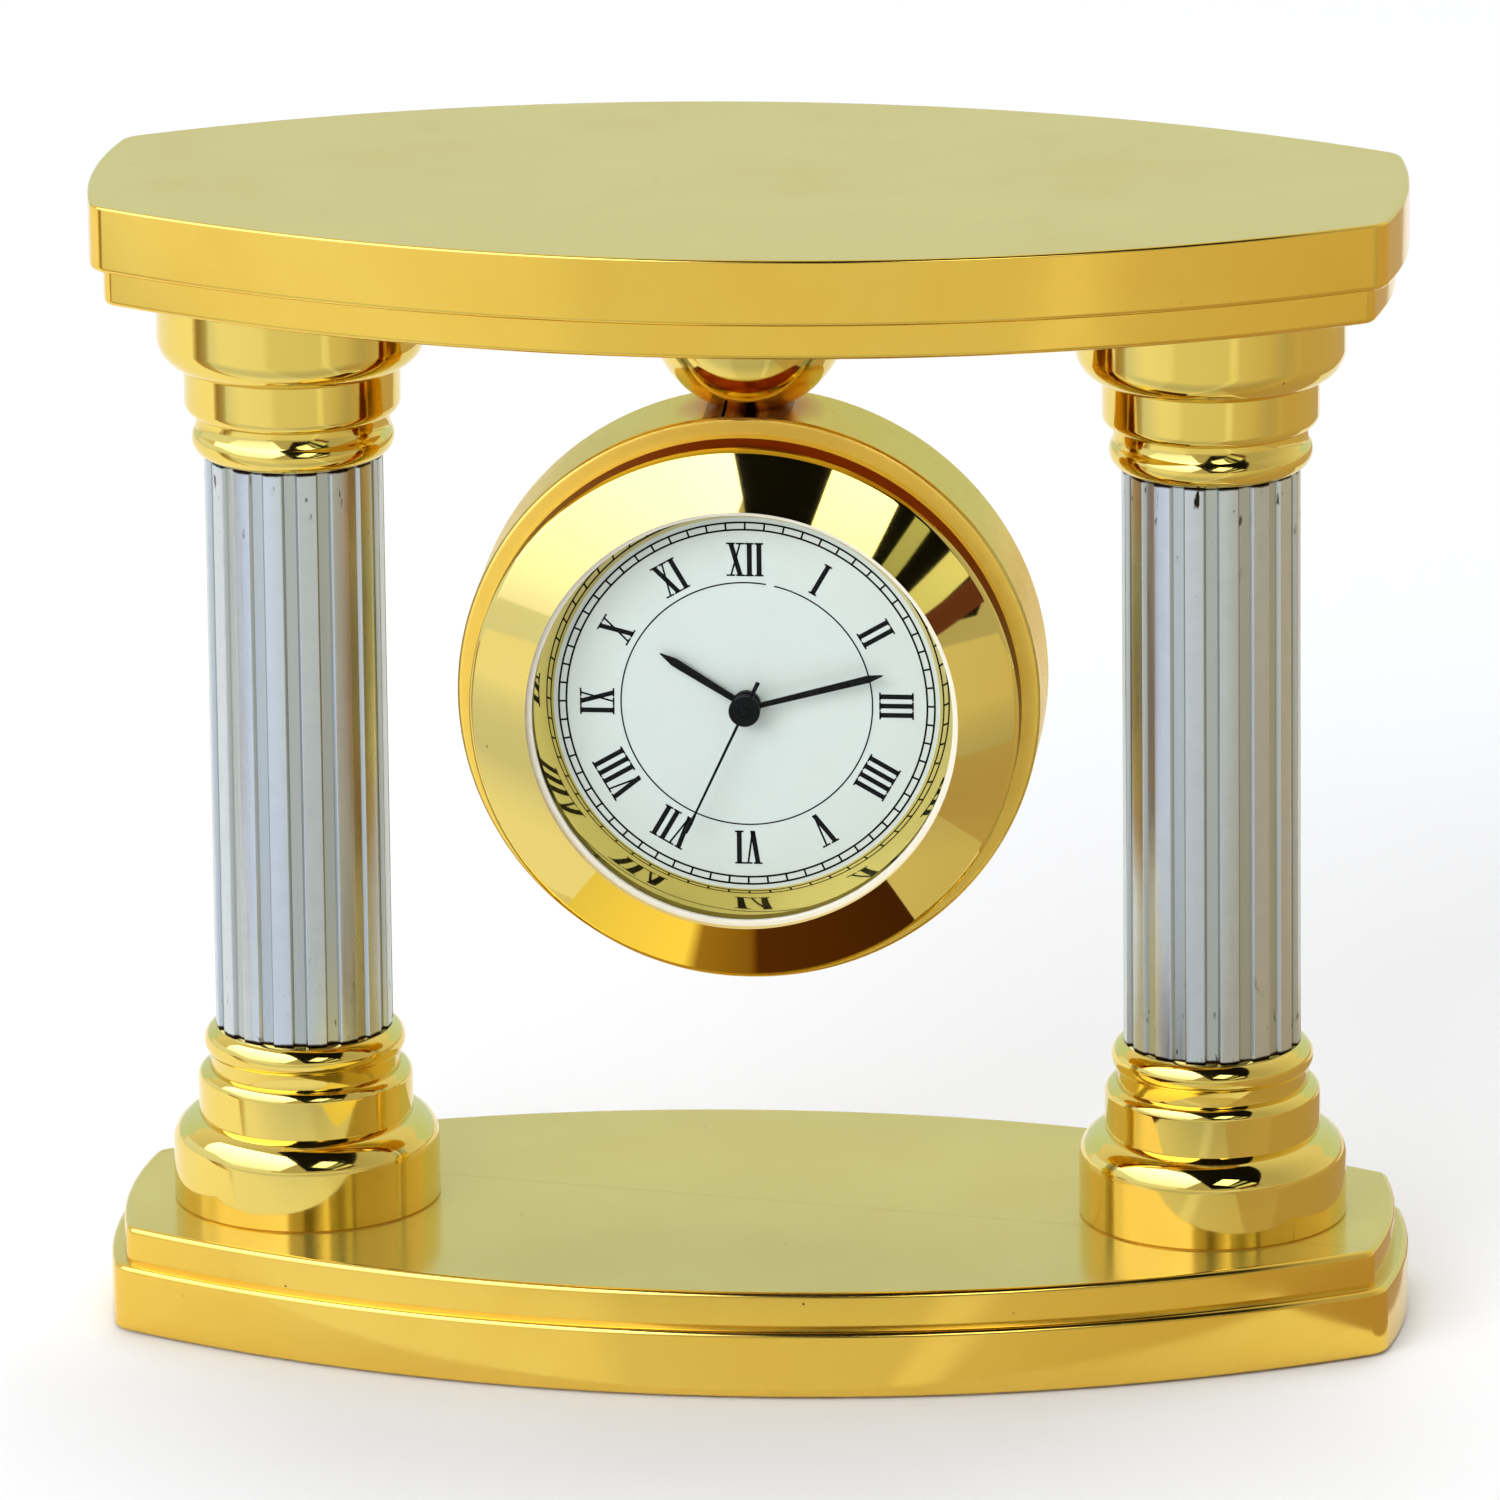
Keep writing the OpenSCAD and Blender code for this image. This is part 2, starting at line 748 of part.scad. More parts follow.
// Contact strip on the back of the bridge, with a foot that presses on the battery
module battery_spring() {
    reach = norm(battery_xy);
    strip_w = 1.6;
    strip_l = battery_d / 2 + 2;
    color(steel)
        dialwise()
            translate([0, 0, bridge_back - spring_t])
                rotate(atan2(battery_xy[1], battery_xy[0]))
                    translate([reach + 0.8 - strip_l, -strip_w / 2, 0]) {
                        cube([strip_l, strip_w, spring_t]);
                        translate([strip_l - spring_t, 0, 0])
                            cube([spring_t, strip_w, plate_back - battery_t - bridge_back + spring_t]);
                    }
}

// Coil lying beside the train, and the bar that carries its flux
module along_coil() {
    dialwise() translate([coil_xy[0], coil_xy[1], coil_u]) rotate(coil_dir) children();
}

module coil_core() {
    color(steel)
        along_coil()
            translate([-core_l / 2, -core_w / 2, -core_w / 2]) cube([core_l, core_w, core_w]);
}

module coil_winding() {
    color("#b5602b")
        along_coil()
            difference() {
                translate([-coil_l / 2, 0, 0]) rotate([0, 90, 0]) cylinder(d = coil_d, h = coil_l);
                translate([-core_l, -core_w / 2 - fit, -core_w / 2 - fit])
                    cube([2 * core_l, core_w + 2 * fit, core_w + 2 * fit]);
            }
}

// Flat pole piece from the end of the coil's core to the ring round the rotor
module stator() {
    reach = norm(rotor_xy - core_tip);
    along = atan2(rotor_xy[1] - core_tip[1], rotor_xy[0] - core_tip[0]);
    color(steel)
        dialwise()
            translate([0, 0, coil_u + core_w / 2])
                difference() {
                    union() {
                        translate([rotor_xy[0], rotor_xy[1], 0])
                            cylinder(r = magnet_r + 1, h = stator_t);
                        translate([core_tip[0], core_tip[1], 0])
                            rotate(along)
                                translate([-0.4, -0.6, 0]) cube([reach + 0.4, 1.2, stator_t]);
                    }
                    translate([rotor_xy[0], rotor_xy[1], -1])
                        cylinder(r = magnet_r + 0.3, h = stator_t + 2);
                }
}

// Toothed wheel: straight-sided teeth, thinner than their gaps
module wheel(teeth, turn, t) {
    pitch_r = tooth * teeth / 2;
    half = 360 / teeth / 4;
    linear_extrude(t)
        polygon([for (i = [0 : teeth - 1], k = [[-1.25, -1.3], [0.8, -0.5], [0.8, 0.5], [-1.25, 1.3]])
            let (r = pitch_r + k[0] * tooth, a = turn + i * 360 / teeth + k[1] * half * 0.85)
                [r * cos(a), r * sin(a)]]);
}

module at(xy, u) {
    dialwise() translate([xy[0], xy[1], u]) children();
}

module rotor() {
    color(steel)
        at(rotor_xy, 0) {
            translate([0, 0, bridge_back]) cylinder(r = pivot_r, h = plate_back + 0.3 - bridge_back);
            translate([0, 0, middle_wheel_at]) wheel(rotor_z, rotor_turn, wheel_t);
            translate([0, 0, coil_u]) cylinder(r = magnet_r, h = 1.1);
        }
}

module intermediate_wheel() {
    color(brass)
        at(middle_xy, 0) {
            translate([0, 0, bridge_back]) cylinder(r = pivot_r, h = plate_back + 0.3 - bridge_back);
            translate([0, 0, middle_wheel_at]) wheel(middle_z, middle_turn, wheel_t);
            translate([0, 0, second_wheel_at]) wheel(middle_pinion_z, middle_pinion_turn, wheel_t);
        }
}

module second_wheel() {
    color(brass)
        at([0, 0], 0) {
            translate([0, 0, bridge_back])
                cylinder(r = second_r, h = second_at_u + hand_t - bridge_back);
            translate([0, 0, second_wheel_at]) wheel(second_z, second_turn, wheel_t);
        }
}

module cannon_pinion() {
    color(brass)
        at([0, 0], 0)
            difference() {
                union() {
                    translate([0, 0, plate_back - 0.1])
                        cylinder(r = minute_r, h = minute_at_u + hand_t + 0.1 - plate_back);
                    translate([0, 0, motion_at]) wheel(cannon_z, cannon_turn, wheel_t);
                }
                translate([0, 0, plate_back - past])
                    cylinder(r = second_r + play, h = minute_at_u + hand_t - plate_back + 2 * past);
            }
}

module motion_wheel() {
    color(brass)
        at(motion_xy, motion_at)
            difference() {
                union() {
                    wheel(motion_z, motion_turn, wheel_t);
                    wheel(motion_pinion_z, motion_pinion_turn, 1.2);
                }
                translate([0, 0, -1]) cylinder(r = stud_r + play, h = 4);
            }
}

module hour_wheel() {
    color(brass)
        at([0, 0], hour_wheel_at)
            difference() {
                union() {
                    wheel(hour_z, hour_turn, wheel_t);
                    cylinder(r = hour_r, h = hour_at_u + hand_t + 0.1 - hour_wheel_at);
                }
                translate([0, 0, -past])
                    cylinder(r = minute_r + play, h = hour_at_u - hour_wheel_at + 2 * past);
            }
}

// Slim hand that widens a little towards the tip and then runs to a point
module slim_hand(reach, w_boss, w_tip, point) {
    polygon([[-w_boss / 2, 0], [w_boss / 2, 0], [w_tip / 2, reach - point], [0.03, reach],
        [-0.03, reach], [-w_tip / 2, reach - point]]);
}

module hour_hand() {
    color(black)
        at([0, 0], hour_at_u)
            difference() {
                union() {
                    rotate(-hour_at) linear_extrude(hand_t) slim_hand(hour_l, 0.4, 0.58, 1.1);
                    cylinder(d = boss_d - 0.1, h = hand_t);
                }
                translate([0, 0, -1]) cylinder(r = hour_r + fit, h = 3);
            }
}

module minute_hand() {
    color(black)
        at([0, 0], minute_at_u)
            difference() {
                union() {
                    rotate(-minute_at) linear_extrude(hand_t) slim_hand(minute_l, 0.34, 0.5, 1);
                    cylinder(d = boss_d - 0.1, h = hand_t);
                }
                translate([0, 0, -1]) cylinder(r = minute_r + fit, h = 3);
            }
}

// Needle with a short tail, a spear near its tip and the polished boss on top
module second_hand() {
    spear = 1.7;
    color(black)
        at([0, 0], second_at_u)
            difference() {
                union() {
                    rotate(-second_at)
                        linear_extrude(hand_t)
                            polygon([[-0.15, -tail_l], [0.15, -tail_l], [0.1, 0],
                                [0.08, second_l - spear], [0.2, second_l - spear * 0.45],
                                [0.12, second_l], [-0.12, second_l],
                                [-0.2, second_l - spear * 0.45], [-0.08, second_l - spear],
                                [-0.1, 0]]);
                    cylinder(d = boss_d, h = hand_t + 0.1);
                }
                translate([0, 0, -past]) cylinder(r = second_r + fit, h = past + hand_t);
            }
}

module setting_arbor() {
    color(steel)
        at(setting_xy, 0) {
            translate([0, 0, knob_back + 0.5])
                cylinder(r = setting_r, h = motion_at + wheel_t + 0.2 - knob_back);
            translate([0, 0, motion_at]) wheel(setting_z, setting_turn, wheel_t);
        }
}

module setting_knob() {
    color(black)
        at(setting_xy, knob_back)
            difference() {
                cylinder(d = knob_d, h = knob_l);
                translate([0, 0, 0.5]) cylinder(r = setting_r + fit, h = knob_l);
                for (i = [0 : knob_n - 1])
                    rotate(i * 360 / knob_n)
                        translate([knob_d / 2 + 0.1, 0, -1]) cylinder(r = 0.3, h = knob_l + 2, $fn = 16);
            }
}

base_plate();
felt_pad();
top_plate();
column_base(-1);  // left_column_base
column_base(1);  // right_column_base
column_shaft(-1);  // left_column_shaft
column_shaft(1);  // right_column_shaft
capital(-1);  // left_capital
capital(1);  // right_capital
tie_rod(-1);  // left_tie_rod
tie_rod(1);  // right_tie_rod
tie_rod_nuts();
tie_rod_washers();
hanger_ball();
hanger_screw();
drum_ring();
insert_bezel();
crystal();
crystal_gasket();
reflector_ring();
dial();
insert_case();
grip_ring();
back_cover();
movement_holder();
main_plate();
train_bridge();
circuit_board();
quartz_can();
battery();
battery_spring();
coil_core();
coil_winding();
stator();
rotor();
intermediate_wheel();
second_wheel();
second_hand();
cannon_pinion();
minute_hand();
motion_wheel();
hour_wheel();
hour_hand();
setting_arbor();
setting_knob();
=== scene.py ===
import math

import bmesh
import bpy
from mathutils import Matrix, Vector


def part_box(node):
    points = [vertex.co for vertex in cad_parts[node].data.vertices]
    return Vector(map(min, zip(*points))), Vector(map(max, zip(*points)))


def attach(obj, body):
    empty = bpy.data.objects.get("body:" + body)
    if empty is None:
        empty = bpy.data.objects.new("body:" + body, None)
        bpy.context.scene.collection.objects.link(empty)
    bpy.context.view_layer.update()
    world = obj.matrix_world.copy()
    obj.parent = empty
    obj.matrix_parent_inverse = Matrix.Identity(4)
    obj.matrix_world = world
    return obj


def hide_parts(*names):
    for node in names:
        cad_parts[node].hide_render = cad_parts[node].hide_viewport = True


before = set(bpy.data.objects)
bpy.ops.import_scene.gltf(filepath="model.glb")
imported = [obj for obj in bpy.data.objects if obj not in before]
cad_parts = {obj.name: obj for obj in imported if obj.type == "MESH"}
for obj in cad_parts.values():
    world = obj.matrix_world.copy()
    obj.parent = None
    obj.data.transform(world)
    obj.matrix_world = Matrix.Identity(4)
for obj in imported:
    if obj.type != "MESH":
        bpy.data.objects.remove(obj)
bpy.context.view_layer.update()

# Portico desk clock. Lengths are in millimetres until they reach Blender, which works in metres.
# "ahead" is the distance in front of the drum's middle, measured along the dial's axis.
mm = 0.001
weld = 0.0005     # points closer than this become one
scene = bpy.context.scene

dialLow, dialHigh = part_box("dial")
axisHeight = (dialLow.z + dialHigh.z) / 2 / mm
baseLow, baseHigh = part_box("base_plate")
topLow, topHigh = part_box("top_plate")
shaftLow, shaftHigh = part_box("left_column_shaft")
columnLow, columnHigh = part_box("right_column_base")
columnX = (columnLow.x + columnHigh.x) / 2 / mm


# Camera, fitted to the photograph's own edges
camera = {
    "place": (96.545, -1014.204, 350.343),
    "pan": 0.095186,      # radians to the left of straight back
    "tilt": -0.296853,    # radians down
    "roll": -0.011167,
    "pixelsPerRadian": 16002.6,
    "frameWidth": 1500,
    "sensor": 36,
    "clip": (0.05, 20),   # metres
}


def makeCamera():
    data = bpy.data.cameras.new("photoCamera")
    data.sensor_width = camera["sensor"]
    data.lens = camera["pixelsPerRadian"] * camera["sensor"] / camera["frameWidth"]
    data.clip_start, data.clip_end = camera["clip"]
    holder = bpy.data.objects.new("photoCamera", data)
    scene.collection.objects.link(holder)
    pan, tilt, roll = camera["pan"], camera["tilt"], camera["roll"]
    forward = Vector((-math.sin(pan) * math.cos(tilt), math.cos(pan) * math.cos(tilt), math.sin(tilt)))
    level = Vector((math.cos(pan), math.sin(pan), 0))
    upright = level.cross(forward)
    right = math.cos(roll) * level + math.sin(roll) * upright
    up = math.cos(roll) * upright - math.sin(roll) * level
    turn = Matrix((right, up, -forward)).transposed().to_4x4()
    holder.matrix_world = Matrix.Translation(Vector(camera["place"]) * mm) @ turn
    scene.camera = holder


makeCamera()
print("camera placed")


def hexColour(text):
    # sRGB hex to linear RGBA
    parts = [int(text[i:i + 2], 16) / 255 for i in (1, 3, 5)]
    return [c / 12.92 if c <= 0.04045 else ((c + 0.055) / 1.055) ** 2.4 for c in parts] + [1]


def addNode(tree, kind, inputs=None, **settings):
    # An input is a value, a hex colour, an output socket, or a node whose first output feeds it
    node = tree.nodes.new("ShaderNode" + kind)
    for name, value in settings.items():
        setattr(node, name, value)
    for socket, value in (inputs or {}).items():
        if isinstance(value, bpy.types.Node):
            value = value.outputs[0]
        if isinstance(value, bpy.types.NodeSocket):
            tree.links.new(value, node.inputs[socket])
        else:
            node.inputs[socket].default_value = hexColour(value) if isinstance(value, str) else value
    return node


def startMaterial(name):
    material = bpy.data.materials.new(name)
    material.use_nodes = True
    tree = material.node_tree
    tree.nodes.clear()
    where = addNode(tree, "TexCoord").outputs["Object"]
    return material, tree, where


def perMillimetre(spacing):
    # Scale of a texture whose features are this many millimetres apart
    return 1 / (spacing * mm)


def reliefFrom(tree, pattern, height):
    # Bumps that are this many millimetres high where the pattern is 1
    raised = addNode(tree, "Math", {0: pattern, 1: height * mm}, operation="MULTIPLY")
    return addNode(tree, "Bump", {"Height": raised, "Distance": 1, "Strength": 1})


def finishMaterial(material, tree, inputs):
    addNode(tree, "OutputMaterial", {"Surface": addNode(tree, "BsdfPrincipled", inputs)})
    return material


# Most values of a noise texture lie between these
noiseSpan = {"From Min": 0.3, "From Max": 0.7}


# Gold-plated brass, turned or milled and buffed: a mirror with faint buffing waves, a few pits and
# thin smudges that blur it in places
def platedBrass(name, look):
    material, tree, where = startMaterial(name)
    smudge = addNode(tree, "TexNoise", {
        "Vector": where, "Scale": perMillimetre(look["smudge"]), "Detail": 4, "Roughness": 0.6})
    blur = addNode(tree, "MapRange", {
        "Value": smudge, "From Min": 0.35, "From Max": 0.75, "To Min": look["gloss"], "To Max": look["dull"]})
    pitMap = addNode(tree, "TexVoronoi", {"Vector": where, "Scale": perMillimetre(look["pitSpacing"])})
    pit = addNode(tree, "MapRange", {
        "Value": pitMap, "From Min": look["pitSize"] / 2, "From Max": look["pitSize"],
        "To Min": 1, "To Max": 0})
    patchMap = addNode(tree, "TexNoise", {
        "Vector": where, "Scale": perMillimetre(look["patch"]), "Detail": 2})
    patch = addNode(tree, "MapRange", {"Value": patchMap, "From Min": 0.5, "From Max": 0.62})
    worn = addNode(tree, "Math", {0: pit, 1: patch}, operation="MULTIPLY")
    tint = addNode(tree, "MixRGB", {"Fac": smudge, "Color1": look["colour"], "Color2": look["colour2"]})
    colour = addNode(tree, "MixRGB", {"Fac": worn, "Color1": tint, "Color2": look["pitColour"]})
    bare = look.get("bare", 1)
    # Painted shade: browner and duller towards a point where two parts meet
    if "paintedShadeAt" in look:
        away = addNode(tree, "VectorMath", {0: where, 1: look["paintedShadeAt"]}, operation="DISTANCE")
        near = addNode(tree, "MapRange", {
            "Value": away.outputs["Value"], "From Min": look["paintedShadeFrom"] * mm,
            "From Max": look["paintedShadeTo"] * mm, "To Min": look["paintedShadeMost"], "To Max": 0})
        colour = addNode(tree, "MixRGB", {"Fac": near, "Color1": colour, "Color2": look["paintedShadeColour"]})
        # The painted shade is dull too: it takes part of the metal's mirror away
        bare = addNode(tree, "MapRange", {"Value": near, "To Min": 1, "To Max": look["paintedShadeBare"]})
    waves = addNode(tree, "TexNoise", {"Vector": where, "Scale": perMillimetre(look["wave"]), "Detail": 1})
    return finishMaterial(material, tree, {
        "Base Color": colour, "Metallic": bare, "Roughness": blur, "Specular IOR Level": 0.1,
        "Specular Tint": look["grazing"], "Normal": reliefFrom(tree, waves, look["waveHeight"])})


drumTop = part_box("drum_ring")[1].z
goldLook = {
    "colour": "#EDD26C", "colour2": "#E9CB61", "pitColour": "#7A4E1C", "grazing": "#FFFFFF",
    "smudge": 9, "gloss": 0.05, "dull": 0.12, "pitSpacing": 2.6, "pitSize": 0.045, "patch": 7,
    "wave": 5, "waveHeight": 0.004,
}
plateLook = {**goldLook, "wave": 7, "waveHeight": 0.006}
# Painted shade on the ball and the drum: brown and dull where the two press on each other
contactShade = {
    "paintedShadeAt": (0, 0, drumTop), "paintedShadeFrom": 2.8, "paintedShadeTo": 5.2, "paintedShadeColour": "#D87A1E",
    "paintedShadeMost": 0.9, "paintedShadeBare": 0.4,
}
turnedGold = platedBrass("gold plate, turned and buffed", goldLook)
ballGold = platedBrass("gold plate, painted shade under the ball", {
    **goldLook, **contactShade, "paintedShadeFrom": 1.5, "paintedShadeTo": 2.8})
milledGold = platedBrass("gold plate, milled and buffed", {
    **plateLook, "colour": "#F2CF5E", "colour2": "#E8BC49", "gloss": 0.09, "dull": 0.2})
# Painted shade on the plates' tops: the faces that look up get a darker, hazier, part-matt copy of the gold,
# so they stay golden
topShadeGold = platedBrass("gold plate, painted shade on the tops", {
    **plateLook, "colour": "#E1C860", "colour2": "#D8B74F", "gloss": 0.15, "dull": 0.22, "bare": 0.75})
# Brushing round the drum spreads its reflections into one soft sheen
drumGold = platedBrass("gold plate, brushed round the drum", {
    **goldLook, **contactShade, "colour": "#EFD06C", "colour2": "#E8C862", "gloss": 0.24, "dull": 0.32,
    "grazing": "#F8EDCC", "waveHeight": 0.003})
# The bezel and the reflector ring show the studio and the dial almost sharply
mirrorGold = platedBrass("gold plate, mirror polished", {
    **goldLook, "colour": "#ECD373", "colour2": "#EACE6A", "gloss": 0.025, "dull": 0.05, "wave": 9,
    "waveHeight": 0.002, "patch": 20})
# Painted shade: brown and dull on the bezel's side wall, in the corner between the bezel and the drum
cornerShadeGold = platedBrass("gold plate, painted shade in the corner", {
    **goldLook, "colour": "#B25A16", "colour2": "#9E4C10", "grazing": "#A0A0A8", "gloss": 0.15, "dull": 0.3})


# Nickel plate over a fluted tube, drawn and satin finished: fine lines along the column. Painted shade:
# darker and greener in the flutes, and a dark band at both ends where the cut edges meet the gold
def satinNickel(look):
    material, tree, where = startMaterial("satin nickel plate, drawn")
    stretched = addNode(tree, "Mapping", {
        "Vector": where, "Scale": (1, 1, look["grain"] / look["grainLength"])})
    lines = addNode(tree, "TexNoise", {
        "Vector": stretched, "Scale": perMillimetre(look["grain"]), "Detail": 3})
    cloud = addNode(tree, "TexNoise", {"Vector": where, "Scale": perMillimetre(look["cloud"]), "Detail": 3})
    blur = addNode(tree, "MapRange", {
        "Value": lines, **noiseSpan, "To Min": look["gloss"], "To Max": look["dull"]})
    # Both columns share one pattern, measured from the nearer axis
    folded = addNode(tree, "VectorMath", {0: where}, operation="ABSOLUTE")
    centred = addNode(tree, "VectorMath", {0: folded, 1: (columnX * mm, 0, 0)}, operation="SUBTRACT")
    flat = addNode(tree, "VectorMath", {0: centred, 1: (1, 1, 0)}, operation="MULTIPLY")
    radius = addNode(tree, "VectorMath", {0: flat}, operation="LENGTH").outputs["Value"]
    sunk = addNode(tree, "MapRange", {
        "Value": radius, "From Min": look["ridge"] * mm, "From Max": look["trough"] * mm})
    # Painted shade: a dark band with a ragged edge at both ends, where the cut edges meet the gold
    height = addNode(tree, "SeparateXYZ", {"Vector": centred}).outputs["Z"]
    fromMiddle = addNode(tree, "Math", {0: height, 1: look["middle"] * mm}, operation="SUBTRACT")
    upOrDown = addNode(tree, "Math", {0: fromMiddle}, operation="ABSOLUTE")
    ragged = addNode(tree, "Math", {0: cloud, 1: look["endShade"] * mm, 2: upOrDown}, operation="MULTIPLY_ADD")
    endShade = addNode(tree, "MapRange", {
        "Value": ragged, "From Min": (look["half"] - look["endShade"] * 0.1) * mm,
        "From Max": (look["half"] + look["endShade"] * 0.25) * mm})
    tint = addNode(tree, "MixRGB", {"Fac": cloud, "Color1": look["colour"], "Color2": look["colour2"]})
    # Painted shade: the flutes darker and greener than the lands
    fluted = addNode(tree, "MixRGB", {"Fac": sunk, "Color1": tint, "Color2": look["fluteShadeColour"]})
    pitMap = addNode(tree, "TexVoronoi", {"Vector": where, "Scale": perMillimetre(look["pitSpacing"])})
    pit = addNode(tree, "MapRange", {
        "Value": pitMap, "From Min": look["pitCore"], "From Max": look["pitSize"],
        "To Min": look["pitDark"], "To Max": 0})
    spotted = addNode(tree, "MixRGB", {"Fac": pit, "Color1": fluted, "Color2": look["pitColour"]})
    # Short dark streaks run up and down from the ends, in the same dark as the band at the ends
    streaked = addNode(tree, "Mapping", {"Vector": where, "Scale": (1, 1, look["endStreakStretch"])})
    endStreakMap = addNode(tree, "TexNoise", {
        "Vector": streaked, "Scale": perMillimetre(look["endStreak"]), "Detail": 4})
    endStreak = addNode(tree, "MapRange", {"Value": endStreakMap, "From Min": 0.66, "From Max": 0.72})
    nearEnd = addNode(tree, "MapRange", {
        "Value": upOrDown, "From Min": (look["half"] - look["endStreakReach"]) * mm,
        "From Max": look["half"] * mm, "To Max": look["endStreakMost"]})
    endStreaked = addNode(tree, "Math", {0: endStreak, 1: nearEnd}, operation="MULTIPLY")
    dark = addNode(tree, "Math", {0: endShade, 1: endStreaked}, operation="MAXIMUM")
    colour = addNode(tree, "MixRGB", {"Fac": dark, "Color1": spotted, "Color2": look["endShadeColour"]})
    return finishMaterial(material, tree, {
        "Base Color": colour, "Metallic": 1, "Roughness": blur,
        "Normal": reliefFrom(tree, lines, look["grainHeight"])})


# The real drawing lines are finer than 0.1 mm, so they are drawn coarser to show at all
nickel = satinNickel({
    "colour": "#D2D8D4", "colour2": "#C5CBC7", "fluteShadeColour": "#BCC1B8", "gloss": 0.26, "dull": 0.38,
    "grain": 0.25, "grainLength": 12, "grainHeight": 0.006, "cloud": 1.2, "ridge": 5.92, "trough": 5.7,
    "middle": (shaftLow.z + shaftHigh.z) / 2 / mm, "half": (shaftHigh.z - shaftLow.z) / 2 / mm,
    "pitSpacing": 3.4, "pitSize": 0.035, "pitCore": 0.015, "pitDark": 0.6, "pitColour": "#5C5A52",
    "endShade": 0.3, "endShadeColour": "#2A1E14",
    "endStreak": 0.55, "endStreakStretch": 0.3, "endStreakReach": 7, "endStreakMost": 1.2,
})


# Paints, plastics and the like: one colour that varies a little towards a second, a roughness that
# follows it from the first value to the second, and a fine relief of the given grain
def plainFinish(name, colour, colour2, gloss, grain, metal=0, shine=0.5, height=0.001):
    material, tree, where = startMaterial(name)
    cloud = addNode(tree, "TexNoise", {"Vector": where, "Scale": perMillimetre(grain), "Detail": 4})
    mixed = addNode(tree, "MixRGB", {"Fac": cloud, "Color1": colour, "Color2": colour2})
    blur = addNode(tree, "MapRange", {"Value": cloud, **noiseSpan, "To Min": gloss[0], "To Max": gloss[1]})
    return finishMaterial(material, tree, {
        "Base Color": mixed, "Metallic": metal, "Roughness": blur, "Specular IOR Level": shine,
        "Normal": reliefFrom(tree, cloud, height)})


# Even, half-matt white with the faintest cloud
dialPaint = plainFinish("dial enamel paint", "#DBDCDC", "#D7D9D9", (0.35, 0.45), grain=3)
# Dense black that hardly shines, so thin strokes stay legible
printInk = plainFinish("black pad-printed ink", "#0E0F10", "#151617", (0.4, 0.55), grain=0.3, shine=0.08)
# Smoother and a little deeper than the ink
handPaint = plainFinish("gloss black hand paint", "#08080A", "#0D0D0F", (0.25, 0.35), grain=0.8, shine=0.12)
# Warm white with a soft gleam, and the same for the movement's ring
gasketNylon = plainFinish("pale moulded nylon", "#E6E3D8", "#DAD6C8", (0.3, 0.4), grain=1.5)
# The drum's front face: satin under its lacquer, so it stays evenly golden beside the bezel
faceGold = plainFinish(
    "gold plate, satin under lacquer", "#F2D05A", "#E9C248", (0.4, 0.5), grain=2, metal=0.5)
# Duller and browner than the plating, with soft reflections
caseBrass = plainFinish("lacquered brass", "#CBA75A", "#BD9850", (0.22, 0.32), grain=1.2, metal=1)
# Cool grey with a slight crystal mottle
steel = plainFinish("zinc-plated steel", "#A9AEB2", "#8F9498", (0.25, 0.4), grain=0.8, metal=1)
# Matt black that swallows the light
gripRubber = plainFinish("moulded black rubber", "#141414", "#1E1E1D", (0.6, 0.8), grain=0.4, height=0.01)
# Half-matt black with a fine spark-eroded grain
knobPlastic = plainFinish("moulded black ABS", "#161617", "#1D1D1F", (0.4, 0.5), grain=0.3, height=0.004)
# Glossy lacquer over the board's weave
boardMask = plainFinish("green solder mask", "#1F5A33", "#2B6B40", (0.25, 0.4), grain=1)
# Reddish gloss, with the relief of fine turns side by side
copperWire = plainFinish(
    "enamelled copper wire", "#A8552A", "#8C4320", (0.3, 0.45), grain=0.12, metal=1, height=0.02)


# Pressed wool felt: matt and fuzzy, a soft sheen over short fibres
def feltCloth(look):
    material, tree, where = startMaterial("pressed green felt")
    fibre = addNode(tree, "TexNoise", {
        "Vector": where, "Scale": perMillimetre(look["fibre"]), "Detail": 6, "Roughness": 0.7})
    colour = addNode(tree, "MixRGB", {"Fac": fibre, "Color1": look["colour"], "Color2": look["colour2"]})
    return finishMaterial(material, tree, {
        "Base Color": colour, "Roughness": 0.95, "Sheen Weight": 0.5,
        "Normal": reliefFrom(tree, fibre, look["height"])})


felt = feltCloth({"colour": "#1C3B24", "colour2": "#355C3C", "fibre": 0.35, "height": 0.12})


# Mineral glass, a flat pane: clear, with the faint mirror that its index of 1.5 gives
def paneGlass(look):
    material, tree, where = startMaterial("clear mineral glass")
    mirror = addNode(tree, "BsdfGlossy", {"Color": look["mirror"], "Roughness": look["gloss"]})
    clear = addNode(tree, "BsdfTransparent", {"Color": look["clear"]})
    edge = addNode(tree, "Fresnel", {"IOR": look["index"]})
    inner = addNode(tree, "NewGeometry").outputs["Backfacing"]
    outer = addNode(tree, "Math", {0: 1, 1: inner}, operation="SUBTRACT")
    share = addNode(tree, "Math", {0: edge, 1: outer}, operation="MULTIPLY")
    both = addNode(tree, "MixShader", {0: share, 1: clear, 2: mirror})
    addNode(tree, "OutputMaterial", {"Surface": both})
    return material


glass = paneGlass({"mirror": "#4A4A4A", "clear": "#FBFEFD", "gloss": 0.02, "index": 1.5})
print("materials made")


def setMode(mode):
    bpy.ops.object.mode_set(mode=mode)


def selectAll():
    bpy.ops.mesh.select_all(action="SELECT")


def selectNone(kind):
    bpy.ops.mesh.select_mode(type=kind)
    bpy.ops.mesh.select_all(action="DESELECT")


def pickObject(piece):
    bpy.ops.object.select_all(action="DESELECT")
    piece.select_set(True)
    bpy.context.view_layer.objects.active = piece


def weldPoints(distance=weld):
    selectAll()
    bpy.ops.mesh.remove_doubles(threshold=distance * mm)


def cleanMesh():
    weldPoints()
    bpy.ops.mesh.normals_make_consistent(inside=False)


